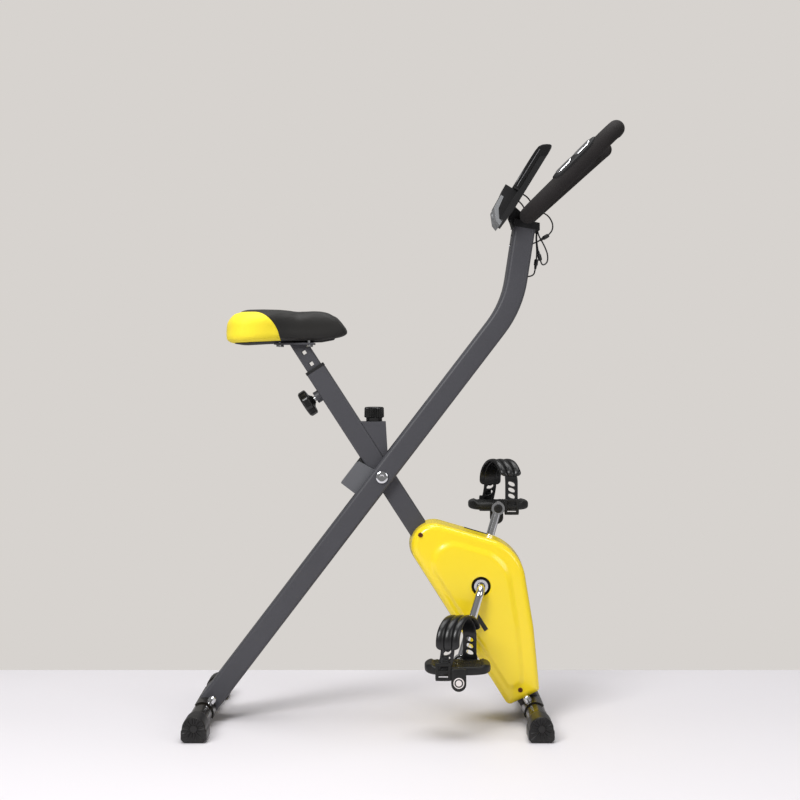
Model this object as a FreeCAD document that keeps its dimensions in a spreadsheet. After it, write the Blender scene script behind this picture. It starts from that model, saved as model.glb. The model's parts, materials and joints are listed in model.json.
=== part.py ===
"""Folding upright exercise bike: two crossed tubes on a pivot, a belt drive in a two-part casing, an
adjustable seat and a fixed handlebar with a small console.

Millimetres. +X is forwards, +Y is the rider's left and +Z is up. The origin is on the floor, at the
middle of the bike's length and width.
"""
import FreeCAD, Part
import math
import os
import re
import Sketcher

V = FreeCAD.Vector
RIGHT = -1
LEFT = 1
ALONG_Y = V(0, 1, 0)

doc = FreeCAD.newDocument("exercise_bike")

# The driving dimensions, in millimetres and degrees.
DIMENSIONS = {
    # the two crossed tubes
    "rear_foot_x": -379.0,
    "front_foot_x": 242.0,
    "foot_axis_z": 25.5,
    "post_angle": 52.6,
    "post_to_pivot": 550.3,
    "post_to_bend": 958.5,
    "head_angle": 81.3,
    "head_length": 149.0,
    "post_width": 80.0,
    "post_depth": 40.0,
    "post_corner": 6.5,
    "post_wall": 2.0,
    "post_bend_radius": 200.0,
    "window_width": 48.2,
    "window_low": -95.0,
    "window_high": 165.0,
    "seat_tube_angle": 57.1,
    "seat_tube_to_pivot": 521.8,
    "seat_tube_side": 38.0,
    "seat_tube_corner": 4.0,
    "seat_tube_wall": 2.0,
    "seat_tube_top": 239.0,
    "seat_tube_bottom": -515.0,
    # pivot
    "pivot_bolt_radius": 6.0,
    "running_gap": 0.05,
    "pivot_sleeve_radius": 9.0,
    "pivot_head_radius": 12.0,
    "pivot_head_height": 5.0,
    # feet
    "stabiliser_radius": 19.0,
    "stabiliser_wall": 1.5,
    "stabiliser_half": 205.0,
    "saddle_thickness": 2.5,
    "saddle_half": 82.0,
    "cap_radius": 21.5,
    "cap_length": 52.0,
    "cap_half": 208.0,
    "pad_length": 47.0,
    "pad_height": 19.0,
    "foot_bolt_y": 58.5,
    "foot_bolt_radius": 4.0,
    # stop bracket
    "bracket_half": 24.0,
    "bracket_sheet": 2.5,
    "bracket_depth": 55.0,
    "bracket_drop": 57.0,
    # seat post and its pull knob
    "seat_post_side": 30.0,
    "seat_post_wall": 2.0,
    "seat_post_bottom": 95.0,
    "seat_plate_z": 713.5,
    "sliding_gap": 0.3,
    "bush_lip": 6.0,
    "notch_pitch": 25.0,
    "pin_along": 195.0,
    "pin_radius": 5.0,
    "ferrule_radius": 11.5,
    "ferrule_height": 10.0,
    "knob_radius": 26.0,
    "knob_thickness": 15.0,
    # seat
    "seat_rear_x": -340.0,
    "seat_nose_x": -112.0,
    "seat_half_width": 98.0,
    "seat_nose_half": 30.0,
    "seat_base_z": 717.0,
    "seat_base_height": 10.0,
    "seat_cushion_height": 50.0,
    # drive
    "crank_x": 142.0,
    "crank_z": 258.0,
    "crank_reach_x": 40.6,
    "crank_drop": 134.6,
    "crank_bar_radius": 8.0,
    "crank_corner_y": 68.0,
    "crank_eye_y": 88.0,
    "crank_eye_radius": 13.0,
    "crank_eye_width": 16.0,
    "shell_radius": 24.0,
    "shell_bore": 20.0,
    "shell_half": 34.0,
    "cup_bore": 14.0,
    "pulley_radius": 68.0,
    "pulley_width": 10.0,
    "pulley_y": 41.5,
    "flywheel_along": -370.0,
    "flywheel_out": 32.0,
    "flywheel_radius": 50.0,
    "flywheel_width": 20.0,
    "flywheel_y": 34.0,
    "shaft_radius": 5.0,
    "small_pulley_radius": 13.0,
    "belt_thickness": 2.5,
    "belt_width": 8.0,
    # casing
    "casing_half": 50.0,
    "casing_wall": 2.5,
    "casing_edge": 12.0,
    "hub_hole_radius": 18.0,
    # pedals
    "pedal_y": 150.0,
    "pedal_length": 120.0,
    "pedal_width": 84.0,
    "pedal_height": 17.0,
    "pedal_axle_radius": 6.0,
    "strap_half": 40.0,
    "strap_thickness": 3.0,
    "strap_slant": 0.5,
    "strap_rise": 45.0,
    "strap_width": 42.0,
    # handlebar
    "bar_height": 170.0,
    "bar_radius": 11.1,
    "foam_radius": 15.5,
    "bar_corner_y": 125.0,
    "bar_tip_x": 156.0,
    "bar_tip_y": 165.0,
    "bar_tip_z": 153.5,
    "bar_end_y": 100.0,
    # console
    "console_x": 195.0,
    "console_z": 965.0,
    "console_angle": 58.5,
    "tablet_half": 85.0,
    "monitor_half": 62.0,
    # tension knob
    "knob_bracket_x": -60.0,
    "knob_bracket_z": 567.0,
    "tension_radius": 19.0,
    "tension_height": 20.0,
}

sheet = doc.addObject("Spreadsheet::Sheet", "Sizes")
for row, (alias, value) in enumerate(DIMENSIONS.items(), start=1):
    sheet.set(f"A{row}", alias)
    sheet.set(f"B{row}", str(value))
    sheet.setAlias(f"B{row}", alias)
doc.recompute()


def size(alias):
    """The value of one of the sheet's cells."""
    return float(sheet.get(alias))


def formula(text):
    """A formula of the sheet's aliases, with the sheet's name before each of them."""
    return re.sub(r"[a-z]\w+", lambda found: "Sizes." + found.group(), str(text))


def bind(item, **sizes):
    """Ties an object's properties to formulas of the sheet's aliases."""
    for name, text in sizes.items():
        item.setExpression(name, formula(text))
    return item


def worth(text):
    """What a formula of the sheet's aliases comes to now."""
    names = {alias: size(alias) for alias in re.findall(r"[a-z]\w+", str(text))}
    for alias in sorted(names, key=len, reverse=True):
        text = re.sub(rf"\b{alias}\b", repr(names[alias]), text)
    total = FreeCAD.Units.Quantity(str(text))
    return total.Value


# Places on the bike -------------------------------------------------------------------------------


def leaning(origin, degrees):
    """A frame at a point whose Z leans forwards from upright by some degrees, its Y unturned."""
    return FreeCAD.Placement(origin, FreeCAD.Rotation(ALONG_Y, degrees))


def heading(degrees):
    """The unit vector in the bike's side view that rises at some degrees above +X."""
    return V(math.cos(math.radians(degrees)), 0, math.sin(math.radians(degrees)))


rear_foot = V(size("rear_foot_x"), 0, size("foot_axis_z"))
front_foot = V(size("front_foot_x"), 0, size("foot_axis_z"))
post_way = heading(size("post_angle"))
pivot = rear_foot + post_way * size("post_to_pivot")
bend = rear_foot + post_way * size("post_to_bend")
head_way = heading(size("head_angle"))
bar_centre = bend + head_way * size("bar_height")
seat_way = heading(180 - size("seat_tube_angle"))
crank_centre = V(size("crank_x"), 0, size("crank_z"))

post_frame = leaning(pivot, 90 - size("post_angle"))
head_frame = leaning(bend, 90 - size("head_angle"))
seat_frame = leaning(front_foot + seat_way * size("seat_tube_to_pivot"), size("seat_tube_angle") - 90)
console_frame = leaning(V(size("console_x"), 0, size("console_z")), 90 - size("console_angle"))
upright = FreeCAD.Placement()

flywheel_centre = seat_frame.multVec(V(size("flywheel_out"), 0, size("flywheel_along")))
magnet_pin = seat_frame.multVec(V(-12, 0, -327))


# Ways of making solids ----------------------------------------------------------------------------

kept = []


def keep(item, label):
    """Names a finished piece and lists it for writing."""
    item.Label = label
    kept.append(item)
    return item


def box(name, length, width, height, low, frame=upright):
    """A box whose middle in X and Y, and lowest Z, is at the point low of a frame."""
    solid = doc.addObject("Part::Box", name)
    bind(solid, Length=length, Width=width, Height=height)
    doc.recompute([solid])
    corner = low - V(solid.Length.Value / 2, solid.Width.Value / 2, 0)
    solid.Placement = frame * FreeCAD.Placement(corner, FreeCAD.Rotation())
    return solid


def rod(name, radius, length, start, way, frame=upright):
    """A cylinder from a point of a frame, along a direction of it."""
    solid = doc.addObject("Part::Cylinder", name)
    bind(solid, Radius=radius, Height=length)
    solid.Placement = frame * FreeCAD.Placement(start, FreeCAD.Rotation(V(0, 0, 1), way))
    return solid


def across(name, radius, length, centre):
    """A cylinder along Y whose middle is at a point of the bike."""
    solid = doc.addObject("Part::Cylinder", name)
    bind(solid, Radius=radius, Height=length)
    doc.recompute([solid])
    start = centre - ALONG_Y * (solid.Height.Value / 2)
    solid.Placement = FreeCAD.Placement(start, FreeCAD.Rotation(V(0, 0, 1), ALONG_Y))
    return solid


def joined(name, *solids):
    """The union of several solids."""
    fuse = doc.addObject("Part::MultiFuse", name)
    fuse.Shapes = list(solids)
    fuse.Refine = True
    return fuse


def cut(name, base, *tools):
    """A solid less several others."""
    less = doc.addObject("Part::Cut", name)
    less.Base = base
    less.Tool = tools[0] if len(tools) == 1 else joined(name + "_tools", *tools)
    return less


def common(name, first, second):
    """What two solids share."""
    shared = doc.addObject("Part::Common", name)
    shared.Base = first
    shared.Tool = second
    return shared


def group(name, *solids):
    """Several separate solids that make one node."""
    several = doc.addObject("Part::Compound", name)
    several.Links = list(solids)
    return several


def new_body(name, frame=upright):
    """An empty body placed in a frame."""
    body = doc.addObject("PartDesign::Body", name)
    body.Placement = frame
    return body


def origin_plane(body, role):
    """One of a body's own origin planes."""
    return [item for item in body.Origin.OriginFeatures if item.Role == role][0]


def outline(body, role, points, offset=0.0):
    """A closed sketch of straight lines whose corners are pairs of formulas, on an origin plane."""
    sketch = body.newObject("Sketcher::SketchObject", body.Name + "_sketch")
    sketch.AttachmentSupport = [(origin_plane(body, role), "")]
    sketch.MapMode = "FlatFace"
    sketch.AttachmentOffset = FreeCAD.Placement(V(0, 0, offset), FreeCAD.Rotation())
    corners = [V(worth(x), worth(y), 0) for x, y in points]
    for start, end in zip(corners, corners[1:] + corners[:1]):
        sketch.addGeometry(Part.LineSegment(start, end), False)
    for index, (x, y) in enumerate(points):
        following = (index + 1) % len(points)
        sketch.addConstraint(Sketcher.Constraint("Coincident", index, 2, following, 1))
        for kind, text, value in (("DistanceX", x, corners[index].x), ("DistanceY", y, corners[index].y)):
            number = sketch.addConstraint(Sketcher.Constraint(kind, -1, 1, index, 1, value))
            sketch.setExpression(f"Constraints[{number}]", formula(text))
    return sketch


def rectangle(width, height):
    """The corners of a rectangle about the origin."""
    x, y = f"({width}) / 2", f"({height}) / 2"
    return [(f"0 - {x}", f"0 - {y}"), (x, f"0 - {y}"), (x, y), (f"0 - {x}", y)]


def pad(body, sketch, length, middle=False, reverse=False):
    """A pad of a sketch."""
    feature = body.newObject("PartDesign::Pad", body.Name + "_pad")
    feature.Profile = sketch
    feature.Midplane = middle
    feature.Reversed = reverse
    bind(feature, Length=length)
    doc.recompute()
    return feature


def pocket(body, sketch, length, middle=False, reverse=False):
    """A pocket of a sketch, which has to take material away."""
    before = body.Shape.Volume
    feature = body.newObject("PartDesign::Pocket", body.Name + "_pocket")
    feature.Profile = sketch
    feature.Midplane = middle
    feature.Reversed = reverse
    bind(feature, Length=length)
    doc.recompute()
    if feature.Shape.Volume > before - 1:
        raise RuntimeError(f"{feature.Name} removes nothing")
    return feature


def round_edges(body, feature, edges, radius):
    """A fillet on some of a feature's edges."""
    names = [f"Edge{1 + number}" for number, edge in enumerate(feature.Shape.Edges) if edges(edge)]
    fillet = body.newObject("PartDesign::Fillet", body.Name + "_fillet")
    fillet.Base = (feature, names)
    bind(fillet, Radius=radius)
    doc.recompute()
    return fillet


def runs_along(way):
    """Picks the straight edges that run along a direction."""

    def picked(edge):
        line = edge.Vertexes[-1].Point - edge.Vertexes[0].Point
        return line.Length > 0.1 and line.cross(way).Length < 1e-3 * line.Length

    return picked


def turned(name, profile, frame):
    """A body turned about its frame's Z from a profile of (radius, height) formulas."""
    body = new_body(name, frame)
    sketch = outline(body, "XZ_Plane", profile)
    turn = body.newObject("PartDesign::Revolution", name + "_turn")
    turn.Profile = sketch
    turn.ReferenceAxis = (sketch, ["V_Axis"])
    turn.Angle = 360
    doc.recompute()
    return body


def sheet_shape(name, shape):
    """A feature that holds a shape worked out from the sheet's values."""
    feature = doc.addObject("Part::Feature", name)
    feature.Shape = shape
    return feature


def rounded_path(points, radii):
    """A wire of straight runs between points, joined by tangent arcs of the given radii."""
    edges = []
    start = points[0]
    for before, corner, after, radius in zip(points, points[1:], points[2:], radii):
        back = (before - corner).normalize()
        on = (after - corner).normalize()
        half = back.getAngle(on) / 2
        reach = radius / math.tan(half)
        centre = corner + (back + on).normalize() * (radius / math.sin(half))
        first = corner + back * reach
        last = corner + on * reach
        middle = centre + (corner - centre).normalize() * radius
        edges.append(Part.LineSegment(start, first).toShape())
        edges.append(Part.Arc(first, middle, last).toShape())
        start = last
    edges.append(Part.LineSegment(start, points[-1]).toShape())
    return Part.Wire(edges)


def swept(path, radius):
    """A round solid along a wire."""
    way = path.Edges[0].tangentAt(path.Edges[0].FirstParameter)
    start = path.Edges[0].valueAt(path.Edges[0].FirstParameter)
    ring = Part.Wire([Part.makeCircle(radius, start, way)])
    return path.makePipeShell([ring], True, True)


def cord(label, points, diameter):
    """A free cord: each arc as large as its two runs allow, its volume compared with its length."""
    radii = []
    for before, corner, after in zip(points, points[1:], points[2:]):
        shorter = min((corner - before).Length, (after - corner).Length)
        turn = (corner - before).getAngle(after - corner)
        radii.append(0.45 * shorter / math.tan(turn / 2))
    path = rounded_path(points, radii)
    shape = swept(path, diameter / 2)
    expected = path.Length * math.pi * diameter ** 2 / 4
    print(label, "length", round(path.Length, 1), "radii", [round(radius, 1) for radius in radii],
          "volume ratio", round(shape.Volume / expected, 4))
    return keep(sheet_shape(label, shape), label)


# Seat tube and its bush, seat post and pull pin ------------------------------------------------


def square_tube(name, side, wall, corner, low, high, frame):
    """A square tube along a frame's Z, rounded at its corners, between two heights."""
    body = new_body(name, frame)
    outer = outline(body, "XY_Plane", rectangle(side, side), worth(low))
    tube = pad(body, outer, f"{high} - {low}")
    round_edges(body, tube, runs_along(V(0, 0, 1)), corner)
    inner = outline(body, "XY_Plane", rectangle(f"{side} - 2 * {wall}", f"{side} - 2 * {wall}"), worth(low))
    pocket(body, inner, f"{high} - {low}", reverse=True)
    return body


cable_route = [V(34, 0, 88), V(26, 0, 62), V(11, 0, 40), V(10.5, 0, -110), V(10, 0, -262), V(9, 9, -292),
               V(8, 26, -306)]
pivot_in_tube = seat_frame.inverse().multVec(pivot)
foot_in_tube = seat_frame.inverse().multVec(front_foot)


def make_seat_tube():
    """The main tube: pivot sleeve across it, foot notched to its saddle, ferrule and cable holes."""
    body = square_tube("tube", "seat_tube_side", "seat_tube_wall", "seat_tube_corner", "seat_tube_bottom",
                       "seat_tube_top", seat_frame)
    sleeve = across("pivot_sleeve", "pivot_sleeve_radius", "seat_tube_side + 4", pivot)
    bore = across("pivot_bore", "pivot_bolt_radius + running_gap", 100, pivot)
    notch = across("foot_notch", "cap_radius", 60, front_foot)
    pin_start = V(-18.5, 0, size("pin_along"))
    pin_hole = rod("pin_hole", "pin_radius + 0.3", 8, pin_start, V(1, 0, 0), seat_frame)
    cable_in = rod("cable_in", 3.4, 30, V(26, 0, 62), V(-15, 0, -22), seat_frame)
    cable_out = rod("cable_out", 3.4, 22, V(9, 9, -292), V(-1, 17, -14), seat_frame)
    face = V(-size("seat_tube_side") / 2, 0, size("pin_along"))
    ferrule = rod("pin_ferrule", "ferrule_radius", "ferrule_height", face, V(-1, 0, 0), seat_frame)
    guide = rod("ferrule_bore", "pin_radius + running_gap", 15, face + V(1, 0, 0), V(-1, 0, 0), seat_frame)
    low = V(0, 0, size("pin_along") - 50)
    hollow = box("tube_hollow", "seat_post_side", "seat_post_side", 100, low, seat_frame)
    welded = joined("tube_with_sleeve", body, sleeve, cut("ferrule_outside", ferrule, hollow))
    keep(cut("seat_tube_cut", welded, bore, notch, pin_hole, guide, cable_in, cable_out), "seat_tube")


def make_seat_bush():
    """The plastic sleeve between the tube and the seat post, with a lip on the tube's end."""
    inner = "seat_post_side + 2 * sliding_gap"
    outer = "seat_tube_side - 2 * seat_tube_wall"
    top = V(0, 0, size("seat_tube_top"))
    depth = 55
    sleeve = box("bush_sleeve", outer, outer, depth, top - V(0, 0, depth), seat_frame)
    start = V(-30, 0, size("pin_along"))
    pin_way = rod("bush_pin_way", "pin_radius + 0.3", 20, start, V(1, 0, 0), seat_frame)
    lip = box("bush_lip_block", "seat_tube_side + 1", "seat_tube_side + 1", "bush_lip", top, seat_frame)
    hollow = box("bush_hollow", inner, inner, 90, top - V(0, 0, 70), seat_frame)
    keep(cut("bush_cut", joined("bush_blank", sleeve, lip), hollow, pin_way), "seat_bush")


def make_pull_pin():
    """The pin and its round knob, pulled rearwards to free the seat post."""
    tip = V(-size("seat_post_side") / 2 - size("sliding_gap"), 0, size("pin_along"))
    pin = rod("pin_rod", "pin_radius", 26, tip, V(-1, 0, 0), seat_frame)
    base = FreeCAD.Placement(V(-33, 0, size("pin_along")), FreeCAD.Rotation(V(0, 0, 1), V(-1, 0, 0)))
    profile = [("0", "8.3"), ("pin_radius", "8.3"), ("pin_radius", "0"), ("8", "0"), ("13", "6"),
               ("knob_radius - 1.5", "6"), ("knob_radius", "8"), ("knob_radius", "4 + knob_thickness"),
               ("knob_radius - 4", "7 + knob_thickness"), ("0", "8 + knob_thickness")]
    knob = turned("knob_body", profile, seat_frame * base)
    keep(group("pull_pin_group", pin, knob), "height_pull_pin")


def make_seat_post():
    """The square post that slides in the bush, cut level under the seat plate."""
    body = square_tube("post_blank", "seat_post_side", "seat_post_wall", "3", "seat_post_bottom", "350",
                       seat_frame)
    level = box("above_plate", 300, 200, 300, V(-210, 0, size("seat_plate_z")))
    tools = [level]
    for step in range(-2, 5):
        height = size("pin_along") - step * size("notch_pitch")
        start = V(-30, 0, height)
        tools.append(rod("notch_hole", "pin_radius + 0.4", 22, start, V(1, 0, 0), seat_frame))
    for height in (254.4, 280.0):
        tools.append(box("side_hole", 8, 60, 8, V(0, 0, height - 4), seat_frame))
    keep(cut("seat_post_cut", body, *tools), "seat_post")


# Seat -----------------------------------------------------------------------------------------------

SEAT_PLAN = [("seat_rear_x", "60"), ("seat_rear_x + 16", "seat_half_width - 6"),
             ("seat_rear_x + 34", "seat_half_width"), ("seat_rear_x + 66", "seat_half_width - 4"),
             ("seat_rear_x + 105", "66"), ("seat_rear_x + 140", "44"),
             ("seat_nose_x - 45", "seat_nose_half + 3"), ("seat_nose_x - 12", "seat_nose_half - 4"),
             ("seat_nose_x", "seat_nose_half - 15")]


def seat_slab(name, inset, height, low):
    """A level slab with the seat's plan, drawn in by an inset."""
    body = new_body(name)
    half = [(f"{x} + {inset}" if number < 4 else f"{x} - {inset}", f"{y} - {inset}")
            for number, (x, y) in enumerate(SEAT_PLAN)]
    other = [(x, f"0 - ({y})") for x, y in reversed(half)]
    pad(body, outline(body, "XY_Plane", half + other, worth(low)), height)
    return body


def make_seat():
    """Plate, moulded base, padded cushion and the four bolts between plate and base."""
    plate_x = -212.0
    plate_z = size("seat_plate_z")
    plate = box("plate_blank", 76, 60, "seat_base_z - seat_plate_z", V(plate_x, 0, plate_z))
    base = seat_slab("base_blank", 5, "seat_base_height", "seat_base_z")
    cushion = seat_slab("cushion_blank", 0, "seat_cushion_height", "seat_base_z + seat_base_height")
    round_edges(cushion, cushion.Tip, lambda edge: edge.BoundBox.ZMin > size("seat_base_z") + 59, 8)
    keep(cushion, "seat_cushion")
    shanks, heads = [], []
    for x in (plate_x - 28, plate_x + 28):
        for y in (-23, 23):
            shanks.append(rod("seat_bolt_shank", 3, 12, V(x, y, plate_z), V(0, 0, 1)))
            heads.append(rod("seat_bolt_head", 5.5, 4, V(x, y, plate_z - 4), V(0, 0, 1)))
    bolts = [joined("seat_bolt", shank, head) for shank, head in zip(shanks, heads)]
    keep(group("seat_bolt_group", *bolts), "seat_bolts")
    keep(cut("seat_base_cut", base, *shanks), "seat_base")
    keep(cut("seat_plate_cut", plate, *shanks), "seat_plate")


# Feet -----------------------------------------------------------------------------------------------


def make_foot(end, centre, way):
    """One stabiliser tube with its saddle plate, two bolts with domed nuts, and two end caps."""
    tube = across(end + "_tube", "stabiliser_radius", "2 * stabiliser_half", centre)
    hollow = across(end + "_hollow", "stabiliser_radius - stabiliser_wall", 500, centre)
    saddle_outer = across(end + "_saddle_outer", "cap_radius", "2 * saddle_half", centre)
    saddle_inner = across(end + "_saddle_inner", "stabiliser_radius", 400, centre)
    frame = FreeCAD.Placement(centre, FreeCAD.Rotation(V(0, 0, 1), way))
    clear = box(end + "_below", 80, 400, 60, V(0, 0, -56), frame)
    shanks, bolts, nuts = [], [], []
    bottom = -size("stabiliser_radius") - 2.2
    for y in (-size("foot_bolt_y"), size("foot_bolt_y")):
        shank = rod(end + "_shank", "foot_bolt_radius", 52, V(0, y, bottom), V(0, 0, 1), frame)
        head = rod(end + "_head", 8, 2.2, V(0, y, bottom), V(0, 0, 1), frame)
        shanks.append(shank)
        bolts.append(joined(end + "_bolt", shank, head))
        seat_height = size("cap_radius") - 0.6
        nut = rod(end + "_nut", 7, 7.5, V(0, y, seat_height), V(0, 0, 1), frame)
        dome = doc.addObject("Part::Sphere", end + "_dome")
        bind(dome, Radius=6.5)
        dome.Placement = frame * FreeCAD.Placement(V(0, y, seat_height + 6.6), FreeCAD.Rotation())
        nuts.append((nut, dome, shank))
    saddle_tools = [saddle_inner, clear] + shanks
    keep(cut(end + "_saddle_cut", saddle_outer, *saddle_tools), end + "_saddle")
    keep(cut(end + "_stabiliser_cut", tube, hollow, *shanks), end + "_stabiliser")
    capped = []
    for nut, dome, shank in nuts:
        blank = joined(end + "_nut_blank", nut, dome)
        capped.append(cut(end + "_nut_cut", blank, shank, across(end + "_plate", "cap_radius", 300, centre)))
    keep(group(end + "_bolt_group", *(bolts + capped)), end + "_foot_bolts")
    caps = [make_end_cap(end, centre, side) for side in (RIGHT, LEFT)]
    keep(group(end + "_cap_group", *caps), end + "_end_caps")


def make_end_cap(end, centre, side):
    """A moulded cap over the tube's end, standing on a square pad."""
    outer_y = side * size("cap_half")
    middle_y = outer_y - side * size("cap_length") / 2
    sleeve = across(end + "_cap_sleeve", "cap_radius", "cap_length", V(centre.x, middle_y, centre.z))
    foot = box(end + "_cap_pad", "pad_length", "cap_length", "pad_height", V(centre.x, middle_y, 0))
    bore_y = middle_y - side * 3
    bore = across(end + "_cap_bore", "stabiliser_radius", "cap_length", V(centre.x, bore_y, centre.z))
    return cut(end + "_cap", joined(end + "_cap_blank", sleeve, foot), bore)


# Pivot, post and stop bracket -------------------------------------------------------------------------


# How far up the head the two screws of the console's mount are.
HEAD_SCREWS = (114.0, 132.0)


def make_post():
    """The bent post, with a slot through it where the seat tube crosses."""
    low = V(0, 0, 10 - size("post_to_pivot"))
    points = [post_frame.multVec(low), bend, head_frame.multVec(V(0, 0, size("head_length")))]
    path = rounded_path(points, [size("post_bend_radius")])

    def tube(width, depth, corner):
        """A rounded rectangle carried along the post's path."""
        ring = Part.Wire(rounded_ring(width, depth, corner))
        turn = FreeCAD.Rotation(V(0, 1, 0), V(-1, 0, 0), V(0, 0, 1), "ZXY")
        ring.Placement = post_frame * FreeCAD.Placement(low, turn)
        return path.makePipeShell([ring], True, True)

    wall = size("post_wall")
    outer = tube(size("post_width"), size("post_depth"), size("post_corner"))
    inner = tube(size("post_width") - 2 * wall, size("post_depth") - 2 * wall, size("post_corner") - wall)
    blank = sheet_shape("post_blank_tube", outer.cut(inner))
    window = box("post_window", 60, "window_width", "window_high - window_low",
                 V(0, 0, size("window_low")), post_frame)
    bore = across("post_pivot_bore", "pivot_bolt_radius", 100, pivot)
    notch = across("post_foot_notch", "cap_radius", 200, rear_foot)
    holes = [rod("screw_hole", 2, 20, V(-30, 0, height), V(1, 0, 0), head_frame) for height in HEAD_SCREWS]
    lead_hole = rod("lead_hole", 2.6, 12, head_frame.multVec(V(12, 4, 122)), V(1, 0, 0))
    low_hole = rod("low_lead_hole", 2.6, 12, head_frame.multVec(V(12, 8, 60.2)), V(1, 0, 0))
    keep(cut("post_cut", blank, window, bore, notch, lead_hole, low_hole, *holes), "post_tube")


def rounded_ring(width, depth, corner):
    """The edges of a rectangle with rounded corners, about the origin in XY."""
    plane = Part.makePlane(width, depth, V(-width / 2, -depth / 2, 0))
    solid = plane.extrude(V(0, 0, 10))
    upright_edges = [edge for edge in solid.Edges if abs(edge.tangentAt(0).z) > 0.9]
    rounded = solid.makeFillet(corner, upright_edges)
    base = [face for face in rounded.Faces if abs(face.CenterOfMass.z) < 1e-6][0]
    return base.OuterWire.Edges


def make_pivot():
    """The pivot bolt through post and seat tube, with a low round head and a domed nut."""
    half = size("post_width") / 2
    shank = across("pivot_shank", "pivot_bolt_radius", "post_width", pivot)
    head_middle = pivot - ALONG_Y * (half + size("pivot_head_height") / 2)
    head = across("pivot_head", "pivot_head_radius", "pivot_head_height", head_middle)
    socket = rod("pivot_socket", 4.5, 4, head_middle - ALONG_Y * 3, ALONG_Y)
    tail = across("pivot_tail", "pivot_bolt_radius", 12, pivot + ALONG_Y * (half + 6))
    bolt = cut("pivot_bolt_cut", joined("pivot_bolt_blank", shank, head, tail), socket)
    nut = across("pivot_nut_blank", 11, 9, pivot + ALONG_Y * (half + 4.5))
    cap = across("pivot_nut_cap", 8, 4, pivot + ALONG_Y * (half + 11))
    ring = cut("pivot_nut_cut", joined("pivot_nut_body", nut, cap), tail)
    keep(group("pivot_group", bolt, ring), "pivot_bolt")


def make_stop():
    """The bent U bracket welded in the post's slot, and the rubber buffer that meets the seat tube."""
    half = size("bracket_half")
    sheet_size = size("bracket_sheet")
    drop, depth = size("bracket_drop"), size("bracket_depth")
    rear = [("14", "0 - bracket_drop"), ("14", "10"), ("0 - 14", "10"), ("0 - 22", "1"),
            ("0 - bracket_depth + 3", "0 - 3"), ("0 - bracket_depth", "0 - 8"),
            ("0 - bracket_depth", "0 - bracket_drop")]
    body = new_body("bracket_blank", post_frame)
    pad(body, outline(body, "XZ_Plane", rear), "2 * bracket_half", middle=True)
    inner = 2 * (half - sheet_size)
    hollow = box("bracket_hollow", 120, inner, 140, V(60 - depth + sheet_size, 0, -drop - 1), post_frame)
    bore = across("bracket_bore", "pivot_bolt_radius", 60, pivot)
    top = box("web_top", 30, inner, 60, V(-depth, 0, -16), post_frame)
    keep(cut("bracket_cut", body, hollow, bore, top), "stop_bracket")
    rubber = box("buffer_blank", 13, 2 * (half - sheet_size) - 1, 40, V(-depth + 6.5, 0, -16), post_frame)
    tube_side = size("seat_tube_side") / 2
    above = box("tube_space", 200, 120, 400, V(100 - tube_side - 0.2, 0, -200), seat_frame)
    keep(cut("buffer_cut", rubber, above), "stop_buffer")


# Drive ------------------------------------------------------------------------------------------------


def make_shell():
    """The bearing shell for the cranks, on a gusset welded to the front of the seat tube."""
    outer = across("shell_outer", "shell_radius", "2 * shell_half", crank_centre)
    bore = across("shell_bore_tool", "shell_bore", 100, crank_centre)
    along = seat_frame.inverse().multVec(crank_centre)
    gusset = box("shell_gusset", 30, 28, 40, V(along.x - 15, 0, along.z - 20), seat_frame)
    tube_space = box("shell_tube_space", "seat_tube_side", "seat_tube_side", 700, V(0, 0, -600), seat_frame)
    blank = joined("shell_blank", outer, gusset)
    keep(cut("shell_cut", blank, bore, tube_space), "crank_shell")


def make_cups_and_bearings():
    """Pressed cups at both ends of the shell, and the four ball bearings, as plain rings."""
    half = size("shell_half")
    cups, rings = [], []
    for side in (RIGHT, LEFT):
        inside = across("cup_inside", "shell_bore", 10, crank_centre + ALONG_Y * side * (half - 5))
        flange = across("cup_flange", "shell_bore + 2", 2, crank_centre + ALONG_Y * side * (half + 1))
        bore = across("cup_bore_tool", "cup_bore", 100, crank_centre)
        cups.append(cut("cup", joined("cup_blank", inside, flange), bore))
        middle = crank_centre + ALONG_Y * side * (half - 4)
        ring = across("crank_ring", "cup_bore", 8, middle)
        crank_bore = across("ring_bore", "crank_bar_radius + running_gap", 100, middle)
        rings.append(cut("crank_bearing", ring, crank_bore))
        low = flywheel_centre + ALONG_Y * (-6 + side * 18)
        ring = across("shaft_ring", 11, 7, low)
        shaft_bore = across("shaft_bore", "shaft_radius + running_gap", 100, low)
        rings.append(cut("shaft_bearing", ring, shaft_bore))
    keep(group("bearing_group", *(cups + rings)), "bearings")


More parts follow.
